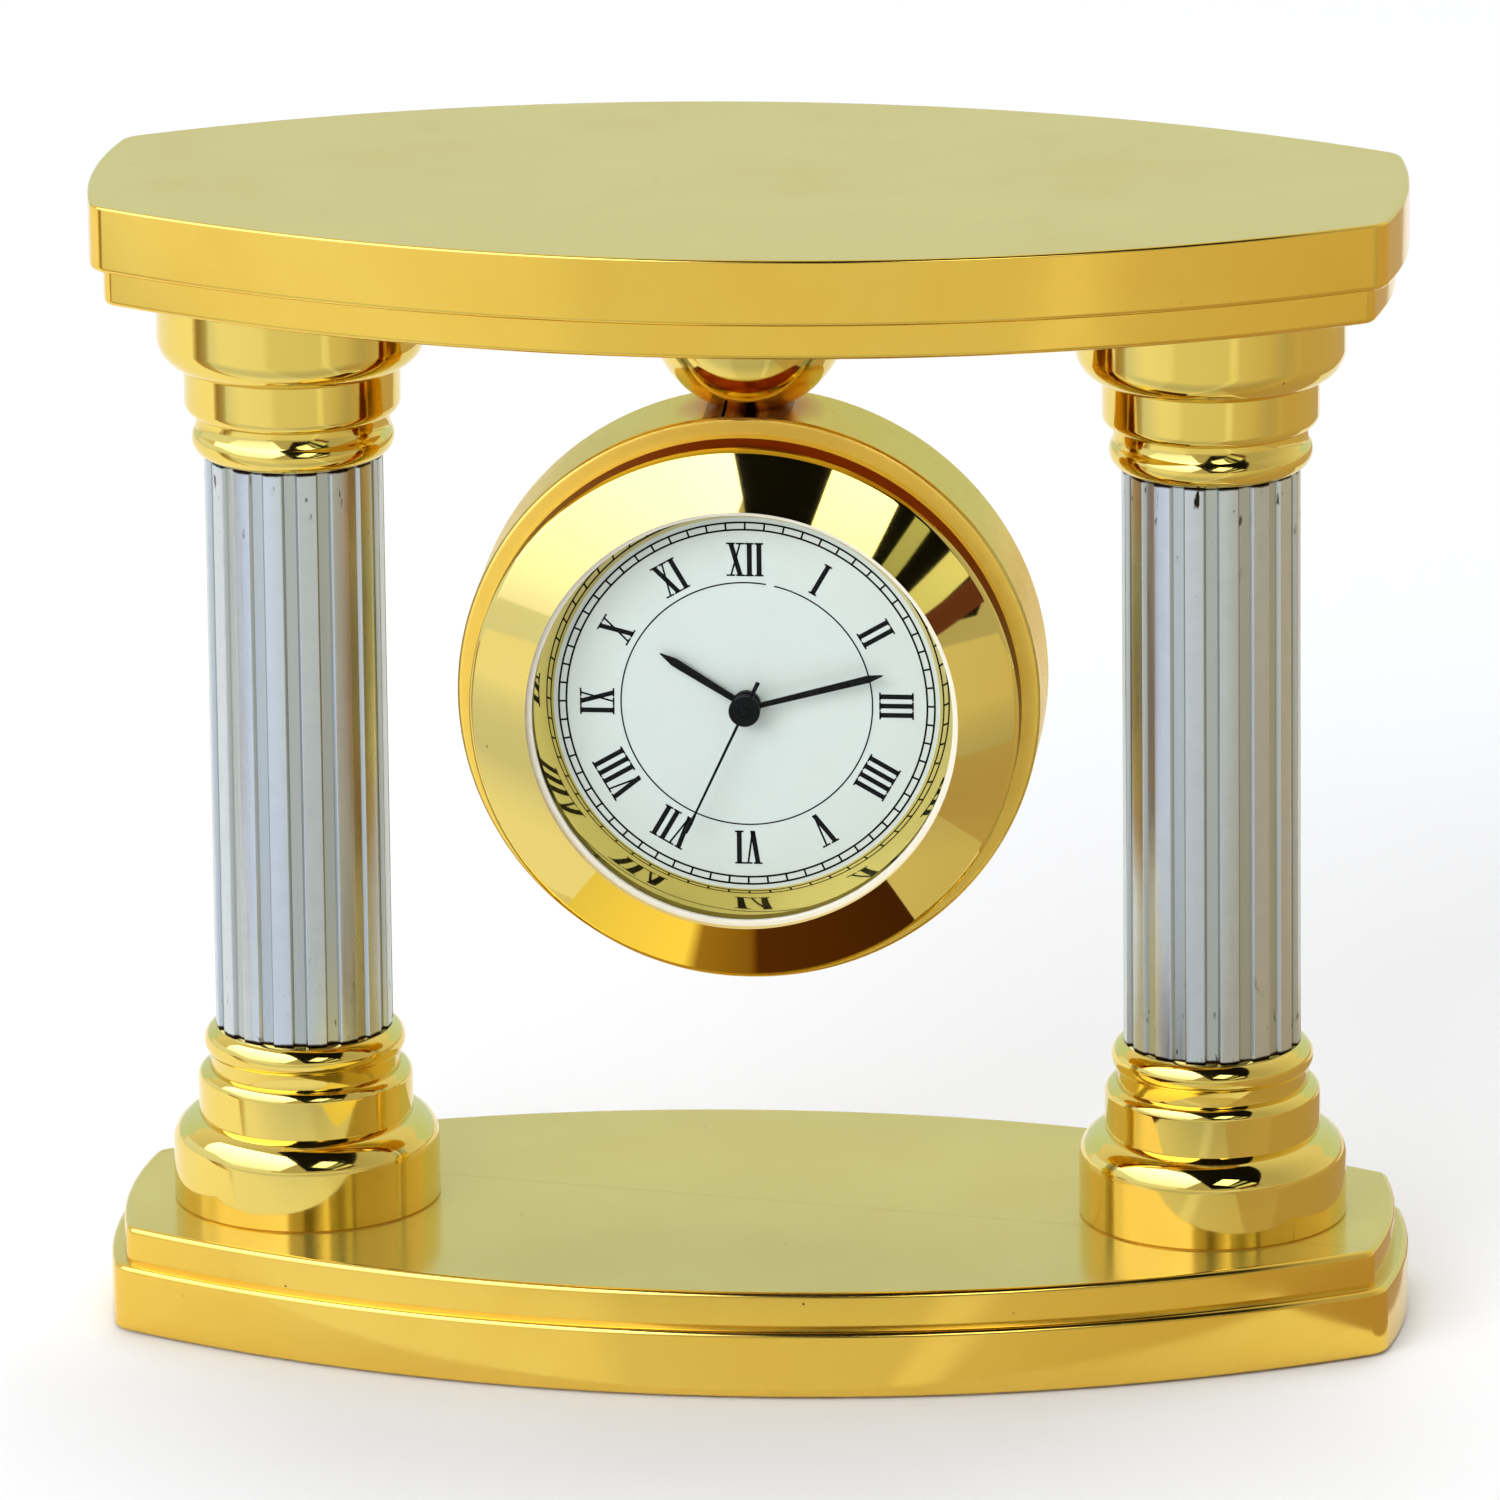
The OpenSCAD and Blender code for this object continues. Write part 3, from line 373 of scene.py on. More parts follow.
def spinUpright(steps, angle=2 * math.pi, centre=(0, 0), copies=False):
    # Spins what is selected about an upright axis; copies stay apart
    bpy.ops.mesh.spin(steps=steps, angle=angle, center=(centre[0] * mm, centre[1] * mm, 0), axis=(0, 0, 1),
                      dupli=copies)


def extrudeUp(height):
    bpy.ops.mesh.extrude_region_move(TRANSFORM_OT_translate={"value": (0, 0, height * mm)})


def insetFace(width):
    bpy.ops.mesh.inset(thickness=width * mm, depth=0, use_even_offset=True)


def raiseFace(height):
    # Fills the outline that was drawn and raises it into a closed solid
    selectAll()
    if not bpy.context.object.data.total_face_sel:
        bpy.ops.mesh.edge_face_add()
    extrudeUp(height)
    cleanMesh()


def bakePlace(piece):
    # The place goes into the mesh, as on a CAD node
    pickObject(piece)
    bpy.ops.object.transform_apply(location=True, rotation=True, scale=True)


def startPoint(name, x, y, z):
    # One vertex in edit mode, from which an outline is drawn
    bpy.ops.mesh.primitive_plane_add(size=mm, location=(0, 0, 0))
    piece = bpy.context.object
    piece.name = piece.data.name = name
    setMode("EDIT")
    bpy.ops.mesh.select_mode(type="VERT")
    selectAll()
    bpy.ops.mesh.merge(type="CENTER")
    bpy.ops.transform.translate(value=(x * mm, y * mm, z * mm))
    return piece


def drawLine(points):
    # Extrudes the selected vertex from point to point; the first point is where it stands
    for here, there in zip(points, points[1:]):
        step = [(b - a) * mm for a, b in zip(here, there)]
        bpy.ops.mesh.extrude_vertices_move(TRANSFORM_OT_translate={"value": step})


def arcPoints(centre, radius, start, stop, count):
    # Points of an arc, from start to stop in degrees
    angles = [math.radians(start + (stop - start) * i / count) for i in range(count + 1)]
    return [(centre[0] + radius * math.cos(a), centre[1] + radius * math.sin(a)) for a in angles]


def turnPiece(name, outline, steps=192):
    # Lathe work: an outline of (radius, height) points, spun about the upright axis. One that
    # doesn't start on the axis is closed first and gives a ring.
    if outline[0][0] > 0:
        outline = outline + outline[:1]
    corners = [(r, 0, h) for r, h in outline]
    piece = startPoint(name, *corners[0])
    drawLine(corners)
    weldPoints()
    spinUpright(steps)
    cleanMesh()
    setMode("OBJECT")
    return piece


def raiseOutline(name, outline, low, high):
    # A flat outline of (x, y) points, raised from low to high, and still in edit mode
    corners = [(x, y, low) for x, y in outline + outline[:1]]
    piece = startPoint(name, *corners[0])
    drawLine(corners)
    raiseFace(high - low)
    return piece


def selectFaces(piece, test):
    # Selects the faces whose middle and normal pass the test
    selectNone("FACE")
    shape = bmesh.from_edit_mesh(piece.data)
    for face in shape.faces:
        face.select = test(face.calc_center_median() / mm, face.normal)
    bmesh.update_edit_mesh(piece.data)


def roundRims(piece, radius, segments=4, sharpness=35, test=lambda middle: True):
    # Bevels the outward edges that are sharper than so many degrees and whose middle passes the test
    selectNone("EDGE")
    shape = bmesh.from_edit_mesh(piece.data)
    for edge in shape.edges:
        middle = (edge.verts[0].co + edge.verts[1].co) / 2 / mm
        sharp = len(edge.link_faces) == 2 and edge.calc_face_angle_signed(0) > math.radians(sharpness)
        edge.select = sharp and test(middle)
    bmesh.update_edit_mesh(piece.data)
    bpy.ops.mesh.bevel(offset=radius * mm, segments=segments, affect="EDGES")


def faceForward(piece):
    # From lathe position, axis up, to the dial's axis, facing the viewer
    piece.rotation_euler = (math.pi / 2, 0, 0)
    piece.location = (0, 0, axisHeight * mm)
    bakePlace(piece)


def copyPiece(piece):
    # A copy with its own mesh
    twin = piece.copy()
    twin.data = piece.data.copy()
    scene.collection.objects.link(twin)
    return twin


def moveCopy(piece, name, x=0, z=0, over=False):
    # A copy that is moved, and turned over on the X axis if asked
    twin = copyPiece(piece)
    twin.name = twin.data.name = name
    twin.rotation_euler = (math.pi if over else 0, 0, 0)
    twin.location = (x * mm, 0, z * mm)
    bakePlace(twin)
    return twin


def joinPieces(name, pieces):
    pickObject(pieces[0])
    for piece in pieces[1:]:
        piece.select_set(True)
    bpy.ops.object.join()
    pieces[0].name = pieces[0].data.name = name
    return pieces[0]


def dress(piece, material, body, replaced, sharpness=40):
    # Shading, finish, body and the CAD nodes that the piece stands for
    pickObject(piece)
    bpy.ops.object.shade_smooth_by_angle(angle=math.radians(sharpness))
    even = piece.modifiers.new("evenFaces", "WEIGHTED_NORMAL")
    even.keep_sharp = True
    even.weight = 90
    bpy.ops.object.modifier_apply(modifier=even.name)
    piece.data.materials.clear()
    piece.data.materials.append(material)
    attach(piece, body)
    if replaced:
        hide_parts(*replaced)


def refinish(piece, material, test):
    # Another finish on the faces whose middle and normal pass the test
    piece.data.materials.append(material)
    for face in piece.data.polygons:
        if test(face.center / mm, face.normal):
            face.material_index = 1


# Stepped plates: a barrel outline of four arcs, a wide slab and a narrower one on top of it
plate = {
    "halfLength": 42.5, "depth": (baseHigh.y - baseLow.y) / mm, "cornerDepth": 17.9, "endSwell": 1.05,
    "slab": 4.5, "step": 2.45, "ledge": 0.9, "rounding": 0.4, "rim": 0.2, "corner": 0.85, "cornerSteps": 6,
    "longSteps": 96, "endSteps": 20,
    "feltBorder": 2.5, "feltRecess": 0.6, "feltThickness": 0.8, "feltGap": 0.15, "feltRound": 0.1,
}


def arcRadius(half, sag):
    return (half * half + sag * sag) / (2 * sag)


def drawPlate(name, z):
    half, corner = plate["halfLength"], plate["cornerDepth"] / 2
    longRadius = arcRadius(half, plate["depth"] / 2 - corner)
    endRadius = arcRadius(corner, plate["endSwell"])
    longTurn = 2 * math.asin(half / longRadius)
    endTurn = 2 * math.asin(corner / endRadius)
    endCentre = half + plate["endSwell"] - endRadius
    longCentre = plate["depth"] / 2 - longRadius
    piece = startPoint(name, half, -corner, z)
    for side in (1, -1):
        spinUpright(plate["endSteps"], -endTurn, (side * endCentre, 0))
        spinUpright(plate["longSteps"], -longTurn, (0, side * longCentre))
    weldPoints()
    return piece


def makePlates():
    p = plate
    floorZ = baseLow.z / mm
    base = drawPlate("steppedBase", floorZ)
    raiseFace(p["slab"])
    # The four upright corners first, so that the step takes its own from them
    slabMiddle = floorZ + p["slab"] / 2
    roundRims(base, p["corner"], segments=p["cornerSteps"], sharpness=20,
              test=lambda middle: abs(middle.z - slabMiddle) < 0.5)
    selectFaces(base, lambda middle, normal: normal.z > 0.9)
    insetFace(p["ledge"])
    extrudeUp(p["step"])
    roundRims(base, p["rim"], test=lambda middle: middle.z < slabMiddle)
    roundRims(base, p["rounding"], test=lambda middle: middle.z > slabMiddle)
    setMode("OBJECT")
    lid = moveCopy(base, "steppedTop", z=topHigh.z / mm + floorZ, over=True)
    # The recess that the felt lies in
    bpy.context.view_layer.objects.active = base
    setMode("EDIT")
    selectFaces(base, lambda middle, normal: normal.z < -0.9999)
    insetFace(p["feltBorder"] - p["rim"])
    extrudeUp(p["feltRecess"])
    setMode("OBJECT")
    for piece, node in ((base, "base_plate"), (lid, "top_plate")):
        dress(piece, milledGold, "frame", [node])
        # The faces that look up take the painted shade of the tops
        refinish(piece, topShadeGold, lambda middle, normal: normal.z > 0.99)
    pad = drawPlate("feltPad", 0)
    bpy.ops.mesh.edge_face_add()
    bpy.ops.mesh.select_mode(type="FACE")
    insetFace(p["feltBorder"] + p["feltGap"])
    bpy.ops.mesh.select_all(action="INVERT")
    bpy.ops.mesh.delete(type="FACE")
    raiseFace(p["feltThickness"])
    roundRims(pad, p["feltRound"], segments=2)
    setMode("OBJECT")
    dress(pad, felt, "frame", ["felt_pad"])


makePlates()
print("plates and felt made")


# Turned column ends: ring, collar, groove and bead, standing on a plate
turning = {
    "ring": 8.95, "ringHeight": 5.9, "ringRound": 2.0, "ringSteps": 14,
    "collar": 7.2, "collarHeight": 3.3, "collarRound": 0.8, "collarSteps": 8,
    "groove": 6.45, "grooveHeight": 0.6, "bead": 2.3, "beadSteps": 18, "neck": 5.6, "foot": 0.12,
}


def makeColumnEnds():
    t = turning
    ring, ringTop, ringRound = t["ring"], t["ringHeight"], t["ringRound"]
    collar, collarTop, collarRound = t["collar"], ringTop + t["collarHeight"], t["collarRound"]
    beadFoot, beadRadius = collarTop + t["grooveHeight"], t["bead"] / 2
    # Where the bead's arc leaves the groove, and where the ring's shoulder meets the collar
    sink = math.degrees(math.acos((t["groove"] - t["neck"]) / beadRadius))
    meet = math.degrees(math.acos((collar - ring + ringRound) / ringRound))
    outline = [(0, 0), (ring - t["foot"], 0), (ring, t["foot"])]
    outline += arcPoints((ring - ringRound, ringTop - ringRound), ringRound, 0, meet, t["ringSteps"])
    outline += arcPoints(
        (collar - collarRound, collarTop - collarRound), collarRound, 0, 90, t["collarSteps"])
    outline += [(t["groove"], collarTop)]
    outline += arcPoints((t["neck"], beadFoot + beadRadius), beadRadius, -sink, 90, t["beadSteps"])
    outline += [(0, beadFoot + t["bead"])]
    foot = turnPiece("columnEnd", outline)
    for side, word in ((-1, "left"), (1, "right")):
        base = moveCopy(foot, word + "Base", x=side * columnX, z=baseHigh.z / mm)
        capital = moveCopy(foot, word + "Capital", x=side * columnX, z=topLow.z / mm, over=True)
        dress(base, turnedGold, "frame", [word + "_column_base"])
        dress(capital, turnedGold, "frame", [word + "_capital"])
    bpy.data.objects.remove(foot)


makeColumnEnds()
print("column ends made")


# Fluted shafts: a round bar with sixteen shallow flutes, each with a flat floor and sloping walls
shaft = {
    "radius": 5.95, "flutes": 16, "mouth": 1.08, "floor": 0.72, "depth": 0.28, "edge": 0.05, "turned": 4,
    "landSteps": 4, "endMargin": 0.1,
}


def makeShafts():
    s = shaft
    low, high = shaftLow.z / mm, shaftHigh.z / mm
    lip = math.asin(s["mouth"] / 2 / s["radius"])
    land = 2 * math.pi / s["flutes"] - 2 * lip
    lipX, lipY = s["radius"] * math.cos(lip), s["mouth"] / 2
    floorX, floorY = s["radius"] - s["depth"], s["floor"] / 2
    # One flute and the land beside it, then the rest of them round the bar
    bar = startPoint("flutedShaft", lipX, -lipY, low)
    drawLine([(lipX, -lipY, low), (floorX, -floorY, low), (floorX, floorY, low), (lipX, lipY, low)])
    spinUpright(s["landSteps"], -land)
    selectAll()
    spinUpright(s["flutes"], copies=True)
    weldPoints(4 * weld)
    raiseFace(high - low)
    bpy.ops.transform.rotate(value=-math.radians(s["turned"]), orient_axis="Z", center_override=(0, 0, 0))
    roundRims(bar, s["edge"], segments=2, sharpness=15,
              test=lambda middle: low + s["endMargin"] < middle.z < high - s["endMargin"])
    setMode("OBJECT")
    for side, word in ((-1, "left"), (1, "right")):
        column = moveCopy(bar, word + "Shaft", x=side * columnX)
        dress(column, nickel, "frame", [word + "_column_shaft"], sharpness=30)
    bpy.data.objects.remove(bar)


makeShafts()
print("fluted shafts made")


# Ball between the top plate and the drum, cut flat at both
ball = {"diameter": 13.2, "drop": 2.05, "segments": 128, "rings": 64}


def makeBall():
    low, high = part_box("hanger_ball")
    bpy.ops.mesh.primitive_uv_sphere_add(
        segments=ball["segments"], ring_count=ball["rings"], radius=ball["diameter"] / 2 * mm,
        location=(0, 0, high.z - ball["drop"] * mm))
    piece = bpy.context.object
    piece.name = piece.data.name = "hangerBall"
    bakePlace(piece)
    setMode("EDIT")
    for z, up in ((high.z, 1), (low.z, -1)):
        selectAll()
        bpy.ops.mesh.bisect(plane_co=(0, 0, z), plane_no=(0, 0, up), use_fill=True, clear_outer=True)
    cleanMesh()
    setMode("OBJECT")
    dress(piece, ballGold, "frame", ["hanger_ball"], sharpness=8)


makeBall()


# Drum: a turned ring with a small flat on top where the ball stands
drum = {"outer": 19.4, "inner": 17.4, "half": 3.8, "rounding": 0.3, "roundSteps": 18, "steps": 256}


def makeDrum():
    outer, inner, half, rounding = drum["outer"], drum["inner"], drum["half"], drum["rounding"]
    outline = []
    for r, u, start in ((outer, half, 0), (inner, half, 90), (inner, -half, 180), (outer, -half, 270)):
        inR = r - rounding if r == outer else r + rounding
        inU = u - math.copysign(rounding, u)
        outline += arcPoints((inR, inU), rounding, start, start + 90, drum["roundSteps"])
    ring = turnPiece("drumRing", outline, drum["steps"])
    faceForward(ring)
    setMode("EDIT")
    selectAll()
    bpy.ops.mesh.bisect(plane_co=(0, 0, drumTop), plane_no=(0, 0, 1), use_fill=True, clear_outer=True)
    cleanMesh()
    setMode("OBJECT")
    # The low angle keeps the edges of the flat on top
    dress(ring, drumGold, "frame", ["drum_ring"], sharpness=6)
    refinish(ring, faceGold, lambda middle, normal: normal.y < -0.9)


makeDrum()
print("ball and drum made")


# Insert: bezel, gasket, glass, reflector ring and dial. Every "ahead" is measured from the drum's middle.
insert = {
    "bezel": 18.25, "bezelBack": 3.8, "edge": 7.2, "edgeRound": 0.12, "front": 9.0, "opening": 14.35,
    "paintedShadeFrom": 4.8, "bulge": 60, "coneSteps": 24, "lipBack": 8.4, "bore": 15.0, "caseBore": 16.61,
    "caseFront": 5.4, "clearance": 0.01, "fineSteps": 256,
    "glass": 14.6, "glassFront": 8.1, "glassBack": 7.1, "glassRound": 0.08,
    "gasketInner": 13.95, "gasketRound": 0.1,
    "reflectorInner": 12.85, "dialFront": 4.9, "dialBack": 4.5, "dial": 15.2, "dialHole": 0.95,
}


def bezelCone():
    # The cone bulges along an arc from the rim to the opening
    n = insert
    rim, mouth = (n["bezel"], n["edge"]), (n["opening"], n["front"])
    across, rise = rim[0] - mouth[0], mouth[1] - rim[1]
    chord = math.hypot(across, rise)
    deep = math.sqrt(n["bulge"] ** 2 - chord ** 2 / 4)
    centre = ((rim[0] + mouth[0]) / 2 - deep * rise / chord, (rim[1] + mouth[1]) / 2 - deep * across / chord)
    first, last = (math.degrees(math.atan2(end[1] - centre[1], end[0] - centre[0])) for end in (rim, mouth))
    return arcPoints(centre, n["bulge"], first, last, n["coneSteps"])


def turnInsertPart(name, outline, material, node, steps=192, sharpness=40):
    piece = turnPiece(name, outline, steps)
    faceForward(piece)
    dress(piece, material, "insert", [node], sharpness)
    return piece


def makeInsert():
    n = insert
    back, front, lip, dialFront = n["glassBack"], n["glassFront"], n["lipBack"], n["dialFront"]
    rim, rimBack, bore, caseBore = n["bezel"], n["bezelBack"], n["bore"], n["caseBore"]
    boreFit, glassFit = bore - n["clearance"], n["glass"] + n["clearance"]
    bezel = turnInsertPart("bezel", [
        (caseBore, rimBack), (rim, rimBack), (rim, n["paintedShadeFrom"]), (rim, n["edge"] - n["edgeRound"])] +
        bezelCone()[1:] + [
        (n["opening"], lip), (bore, lip), (bore, n["caseFront"]), (caseBore, n["caseFront"])],
        mirrorGold, "insert_bezel", n["fineSteps"], 25)
    # Its side wall, in the corner with the drum's rim, gets the painted shade
    refinish(bezel, cornerShadeGold, lambda middle, normal: (
        abs(normal.y) < 0.1 and middle.y < -n["paintedShadeFrom"] and
        math.hypot(middle.x, middle.z - axisHeight) > rim - 0.1))

    soft = n["gasketRound"]
    turnInsertPart("glassGasket", [(glassFit, back), (boreFit, back), (boreFit, lip)] + arcPoints(
        (n["gasketInner"] + soft, lip - soft), soft, 90, 180, 4) + [
        (n["gasketInner"], front), (glassFit, front)], gasketNylon, "crystal_gasket")

    soft, pane = n["glassRound"], n["glass"]
    turnInsertPart("glassPane", [
        (0, back), (pane - soft, back), (pane, back + soft), (pane, front - soft), (pane - soft, front),
        (0, front)], glass, "crystal")

    turnInsertPart("reflectorRing", [
        (n["reflectorInner"], dialFront), (boreFit, dialFront), (boreFit, back), (n["gasketInner"], back)],
        mirrorGold, "reflector_ring", n["fineSteps"])

    turnInsertPart("dialDisc", [
        (n["dialHole"], n["dialBack"]), (n["dial"], n["dialBack"]), (n["dial"], dialFront),
        (n["dialHole"], dialFront)], dialPaint, "dial")


makeInsert()
print("insert made")


# Print on the dial: minute track, inner circle and Roman numerals that stand with their feet to the centre
printed = {
    "trackOuter": 12.5, "trackInner": 12.0, "line": 0.13, "blocks": 60, "circle": 8.36, "circleLine": 0.1,
    "gapFrom": 8.5, "gapTo": 12.6,      # degrees clockwise from twelve, where the circle is open
    "feet": 8.8, "height": 2.3, "thick": 0.33, "thin": 0.13, "serif": 0.58, "serifThick": 0.117, "ink": 0.012,
    "width": {"I": 0.64, "V": 1.2, "X": 1.2}, "vFoot": 0.03, "vLeft": -0.33, "vRight": 0.34, "xHalf": 0.32,
}


def inkRing(name, radius, width):
    low, half = insert["dialFront"], width / 2
    high = low + printed["ink"]
    return turnPiece(name, [
        (radius - half, low), (radius + half, low), (radius + half, high), (radius - half, high)])


def openRing(ring, start, stop):
    # Cuts the stretch between two angles, clockwise from twelve, out of the ring
    setMode("EDIT")
    selectFaces(ring, lambda middle, normal: start < math.degrees(math.atan2(middle.x, middle.y)) < stop)
    bpy.ops.mesh.delete(type="FACE")
    selectNone("EDGE")
    bpy.ops.mesh.select_non_manifold()
    bpy.ops.mesh.edge_face_add()
    setMode("OBJECT")
    return ring


def inkShape(name, outline):
    piece = raiseOutline(name, outline, insert["dialFront"], insert["dialFront"] + printed["ink"])
    setMode("OBJECT")
    return piece


def slantedStroke(x0, x1, width):
    # A stroke from the feet at x0 to the head at x1
    top, half = printed["height"], width / 2
    return [(x0 - half, 0), (x0 + half, 0), (x1 + half, top), (x1 - half, top)]


def serifBar(x, atTop):
    half, thick = printed["serif"] / 2, printed["serifThick"]
    low = printed["height"] - thick if atTop else 0
    return [(x - half, low), (x + half, low), (x + half, low + thick), (x - half, low + thick)]


def makeLetters():
    # Each letter is drawn once on the origin
    thick, thin = printed["thick"], printed["thin"]
    foot, left, right, half = printed["vFoot"], printed["vLeft"], printed["vRight"], printed["xHalf"]
    shapes = {
        "I": [slantedStroke(0, 0, thick), serifBar(0, False), serifBar(0, True)],
        "V": [slantedStroke(foot, left, thick), slantedStroke(foot, right, thin), serifBar(left, True),
              serifBar(right, True)],
        "X": [slantedStroke(half, -half, thick), slantedStroke(-half, half, thin), serifBar(-half, False),
              serifBar(half, False), serifBar(-half, True), serifBar(half, True)],
    }
    return {letter: joinPieces("letter" + letter, [inkShape("stroke", stroke) for stroke in strokes])
            for letter, strokes in shapes.items()}


def finishPrint(name, parts):
    marks = joinPieces(name, parts)
    faceForward(marks)
    dress(marks, printInk, "insert", [])


def makeTrack():
    p = printed
    inner, outer, line, half = p["trackInner"], p["trackOuter"], p["line"], p["line"] / 2
    tick = inkShape("tick", [(-half, inner), (half, inner), (half, outer), (-half, outer)])
    setMode("EDIT")
    selectAll()
    spinUpright(p["blocks"], copies=True)
    weldPoints()
    setMode("OBJECT")
    finishPrint("minuteTrack", [
        tick, inkRing("outerLine", outer, line), inkRing("innerLine", inner, line),
        openRing(inkRing("circle", p["circle"], p["circleLine"]), p["gapFrom"], p["gapTo"])])


def makeNumerals():
    letters = makeLetters()
    placed = []
    for hour, word in enumerate("XII I II III IIII V VI VII VIII IX X XI".split()):
        x = -sum(printed["width"][letter] for letter in word) / 2
        for letter in word:
            width = printed["width"][letter]
            twin = copyPiece(letters[letter])
            twin.data.transform(Matrix.Translation(Vector((x + width / 2, printed["feet"], 0)) * mm))
            twin.data.transform(Matrix.Rotation(-math.radians(30 * hour), 4, "Z"))
            placed.append(twin)
            x += width
    finishPrint("romanNumerals", placed)
    for model in letters.values():
        bpy.data.objects.remove(model)


makeTrack()
makeNumerals()
print("dial printed")


# Hands: slim leaves that widen towards the tip, and a needle under a polished black boss.
# A half is half a width; clockwise is in degrees from twelve.
hands = {
    "thickness": 0.2, "edge": 0.04, "tipHalf": 0.03, "hub": 1.0, "steps": 96,
    "hour": {"ahead": 5.35, "reach": 6.7, "rootHalf": 0.2, "wideHalf": 0.29, "point": 1.1, "clockwise": 302},
    "minute": {"ahead": 6.0, "reach": 9.5, "rootHalf": 0.17, "wideHalf": 0.25, "point": 1.0, "clockwise": 75},
    "second": {
        "ahead": 6.5, "reach": 9.4, "tail": 2.2, "spear": 1.7, "clockwise": 205, "tailHalf": 0.15,
        "rootHalf": 0.1, "neckHalf": 0.08, "bellyHalf": 0.13, "belly": 0.765, "tipHalf": 0.09},
    "boss": {"radius": 1.05, "rise": 0.34, "round": 0.12, "roundSteps": 6, "dish": 0.08, "dishFloor": 0.06,
             "pin": 0.3, "pinRise": 0.12, "pinRound": 0.05},
}


def raiseHand(name, outline, look):
    piece = raiseOutline(name, outline, look["ahead"], look["ahead"] + hands["thickness"])
    roundRims(piece, hands["edge"], segments=2, sharpness=50)
    setMode("OBJECT")
    piece.rotation_euler = (0, 0, -math.radians(look["clockwise"]))
    bakePlace(piece)
    return piece


def finishHand(word, parts):
    hand = joinPieces(word + "Hand", parts)
    faceForward(hand)
    dress(hand, handPaint, word, [word + "_hand"])


def makeLeafHand(word):
    look = hands[word]
    root, wide, tip, reach = look["rootHalf"], look["wideHalf"], hands["tipHalf"], look["reach"]
    shoulder = reach - look["point"]
    leaf = raiseHand(word + "Leaf", [(-root, 0), (root, 0), (wide, shoulder), (tip, reach), (-tip, reach),
                                     (-wide, shoulder)], look)
    low, high = look["ahead"], look["ahead"] + hands["thickness"]
    radius, edge = hands["hub"], hands["edge"]
    hub = turnPiece("hub", [(0, low), (radius - edge, low), (radius, low + edge), (radius, high - edge),
                            (radius - edge, high), (0, high)], hands["steps"])
    finishHand(word, [leaf, hub])


def makeSecondHand():
    look, boss = hands["second"], hands["boss"]
    reach = look["reach"]
    outline = [(-look["tailHalf"], -look["tail"]), (look["tailHalf"], -look["tail"]), (look["rootHalf"], 0),
               (look["neckHalf"], reach - look["spear"]), (look["bellyHalf"], reach - look["belly"]),
               (look["tipHalf"], reach)]
    outline += [(-x, y) for x, y in reversed(outline[2:])]
    needle = raiseHand("needle", outline, look)
    low = look["ahead"]
    top, tip = low + boss["rise"], low + boss["rise"] + boss["pinRise"]
    radius, soft, pin, edge = boss["radius"], boss["round"], boss["pin"], hands["edge"]
    knob = turnPiece(
        "boss", [(0, low), (radius - edge, low), (radius, low + edge)] +
        arcPoints((radius - soft, top - soft), soft, 0, 90, boss["roundSteps"]) +
        [(pin + soft, top), (pin + boss["dishFloor"], top - boss["dish"]), (pin, top - boss["dish"]),
         (pin, tip - boss["pinRound"]), (pin - boss["pinRound"], tip), (0, tip)], hands["steps"])
    finishHand("second", [needle, knob])


makeLeafHand("hour")
makeLeafHand("minute")
makeSecondHand()
print("hands made")


# CAD nodes that keep their own shape and get a finish
innerPieces = [
    (steel, "left_tie_rod right_tie_rod tie_rod_nuts tie_rod_washers hanger_screw battery_spring coil_core "
            "stator rotor setting_arbor quartz_can battery"),
    (caseBrass, "insert_case back_cover main_plate train_bridge intermediate_wheel second_wheel "
                "cannon_pinion motion_wheel hour_wheel"),
    (gasketNylon, "movement_holder"), (gripRubber, "grip_ring"), (boardMask, "circuit_board"),
    (copperWire, "coil_winding"), (knobPlastic, "setting_knob"),
]
for material, nodes in innerPieces:
    for node in nodes.split():
        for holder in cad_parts[node].material_slots:
            holder.material = material
print("inner pieces finished")


